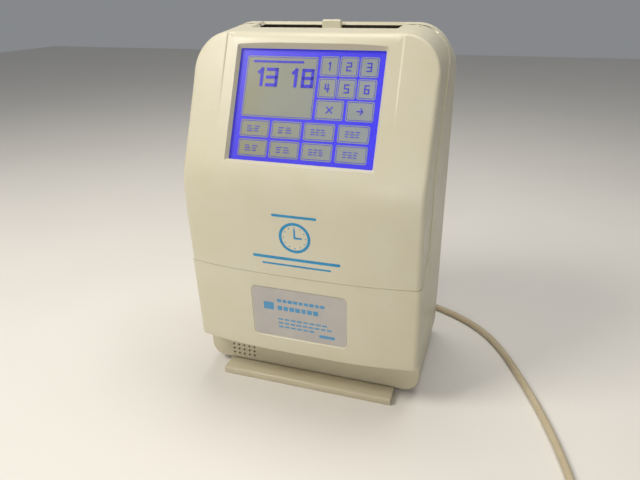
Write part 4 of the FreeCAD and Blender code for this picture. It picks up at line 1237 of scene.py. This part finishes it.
def display():
    """The lit screen under its clear touch film."""
    wide, tall = WINDOW
    base = screen_loft("lcd_base", rounded(wide + 2 * FRAME_RIM - 6, tall + 2 * FRAME_RIM - 6, 1.5, 4),
                       SCREEN_BACK, SCREEN_FRONT, PANEL_BLUE)
    light, rings = tiles()
    light.name, rings.name = "lcd_tiles", "lcd_key_lines"
    shown = figures()
    shown.name = "lcd_figures"
    for piece, material in ((light, PANE_GREY), (rings, FIGURE_BLUE), (shown, FIGURE_BLUE)):
        dress(shade(piece, 30), material)
    for piece in (base, light, rings, shown):
        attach(piece, "cover")
    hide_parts("lcd_glass")


# Trim


def subdivided(obj, size):
    """Splits long edges so that a flat shape can follow a curved one."""
    def split(work):
        bmesh.ops.triangulate(work, faces=work.faces)
        for _ in range(6):
            long_edges = [edge for edge in work.edges if edge.calc_length() > size * MM]
            if not long_edges:
                break
            bmesh.ops.subdivide_edges(work, edges=long_edges, cuts=1)
            bmesh.ops.triangulate(work, faces=work.faces)

    return edited(obj, split)


def printed(name, outline, hole=None):
    """A thin printed shape on the front, given in x and z."""
    thick = 0.06
    if hole:
        rings = [[(x, depth, z) for x, z in line] for depth, line in
                 ((0, outline), (thick, outline), (thick, hole), (0, hole))]
        made = loft(name, rings + rings[:1], True, False)
    else:
        made = loft(name, [[(x, depth, z) for x, z in outline] for depth in (0, thick)])
    subdivided(made, 5)
    places = np.array([v.co[:] for v in made.data.vertices], float) / MM
    level = places[:, 1].copy()
    places[:, 1] = -70
    places = settle(places, COVER_SKIN)
    places += slope(places, COVER_SKIN) * (0.01 + thick - level)[:, None]
    for vertex, place in zip(made.data.vertices, places):
        vertex.co = Vector(place) * MM
    return outward(made)


MARK_Z = 158
MARK_RADIUS = 13.5


MARK_HANDS = (
    [(-0.9, -0.9), (0.9, -0.9), (0.7, 8.2), (-0.7, 8.2)],
    [(0.9, -0.9), (0.9, 0.9), (6.2, 0.7), (6.2, -0.7)],
)
# Width, height over the sign's middle and thickness of each bar
MARK_BARS = ((76, -20, 2.6), (60, -26, 1.6), (38, 18.5, 2.2))


def mark():
    """A plain clock-face sign and three bars, where the front carries its print."""
    at = (0, MARK_Z)
    made = [printed("mark", circle(MARK_RADIUS, 64, at), circle(MARK_RADIUS - 2.4, 64, at))]
    made += [printed("hand", [(x, MARK_Z + z) for x, z in hand]) for hand in MARK_HANDS]
    for i in range(12):
        angle = math.radians(30 * i)
        radius = MARK_RADIUS - 4.2
        tick_at = (radius * math.sin(angle), MARK_Z + radius * math.cos(angle))
        made.append(printed("tick", circle(0.55, 12, tick_at)))
    for wide, rise, tall in MARK_BARS:
        made.append(printed("bar", rounded(wide, tall, tall / 2 - 0.01, 5, (0, MARK_Z + rise))))
    sign = join(made)
    sign.name = "front_mark"
    dress(shade(sign, 30), MARK_INK)
    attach(sign, "cover")


# Height on the plate, thickness, length and number of bars of each printed line
PLATE_LINES = ((13, 3.0, 44, 9), (5.5, 4.4, 38, 7), (-6, 1.6, 46, 8), (-10, 1.6, 50, 9), (-14, 1.6, 34, 6))


def label():
    """The rating plate in its recess, printed with plain bars."""
    wide, tall = LABEL_SIZE[0] - 1.2, LABEL_SIZE[1] - 1.2
    plate = face_loft("rating_plate", [(-LABEL_DEPTH + 0.02, rounded(wide, tall, 4)),
                                       (-LABEL_DEPTH + 0.15, rounded(wide, tall, 4)),
                                       (-LABEL_DEPTH + 0.25, rounded(wide - 0.3, tall - 0.3, 3.85))])
    dress(shade(plate, 30), LABEL)
    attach(plate, "case")
    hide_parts("label_plate")
    front = -LABEL_DEPTH + 0.25
    made = []

    def ink(width, height, corner, at):
        outline = rounded(width, height, corner, 3, at)
        made.append(face_loft("ink", [(depth, outline) for depth in (front - 0.05, front + 0.03)]))

    for row, thick, reach, parts in PLATE_LINES:
        pitch = reach / parts
        for k in range(parts):
            ink(pitch - 1.0 - 0.5 * (k % 3 == 1), thick, 0.4, (-20 + pitch * (k + 0.5), row))
    ink(9.5, 7.5, 1, (-27.5, 6.5))
    ink(14, 3.0, 0.6, (25, -17.5))
    print_on = join(made)
    print_on.name = "plate_print"
    dress(shade(print_on, 30), LABEL_INK)
    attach(print_on, "case")


def foot_bar():
    """The bar that the clock stands on at the front, with its tongue under the base."""
    low, high = (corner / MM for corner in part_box("foot_bar"))
    thick = high.z
    front, rear = low.y, -43.6
    section = [(front + 0.7, 0), (front + 0.2, 0.25), (front, 0.8), (front, thick - 2.0),
               (front + 0.2, thick - 1.3), (front + 0.8, thick - 0.7), (front + 1.6, thick - 0.45),
               (rear - 1.2, thick), (rear - 0.3, thick - 0.25), (rear, thick - 0.9), (rear, 0.6),
               (rear - 0.5, 0)]
    middle = ((front + rear) / 2, thick / 2)
    half = high.x
    rings = []
    for distance, cut in ((0, 0.9), (0.12, 0.5), (0.4, 0.18), (0.9, 0)):
        deep, tall = 1 - 2 * cut / (rear - front), 1 - 2 * cut / thick
        rings.append([(-half + distance, middle[0] + (y - middle[0]) * deep,
                       middle[1] + (z - middle[1]) * (tall if z > middle[1] else 1)) for y, z in section])
    rings += [[(-x, y, z) for x, y, z in ring] for ring in reversed(rings)]
    bar = loft("foot", rings)
    tongue_outline = rounded(90, high.y - rear + 4, 4, 5, (0, (high.y + rear - 4) / 2))
    tongue = prism("tongue", tongue_outline, 3.0, BASE_Z, "z")
    soften(tongue, 0.5, 2)
    combine(bar, tongue, "UNION")
    shade(bar, 50)
    bar.name = "front_foot"
    dress(bar, HOUSING)
    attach(bar, "case")
    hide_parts("foot_bar")


camera()
studio()
cord()
housing()
display()
mark()
label()
foot_bar()
finish_nodes()
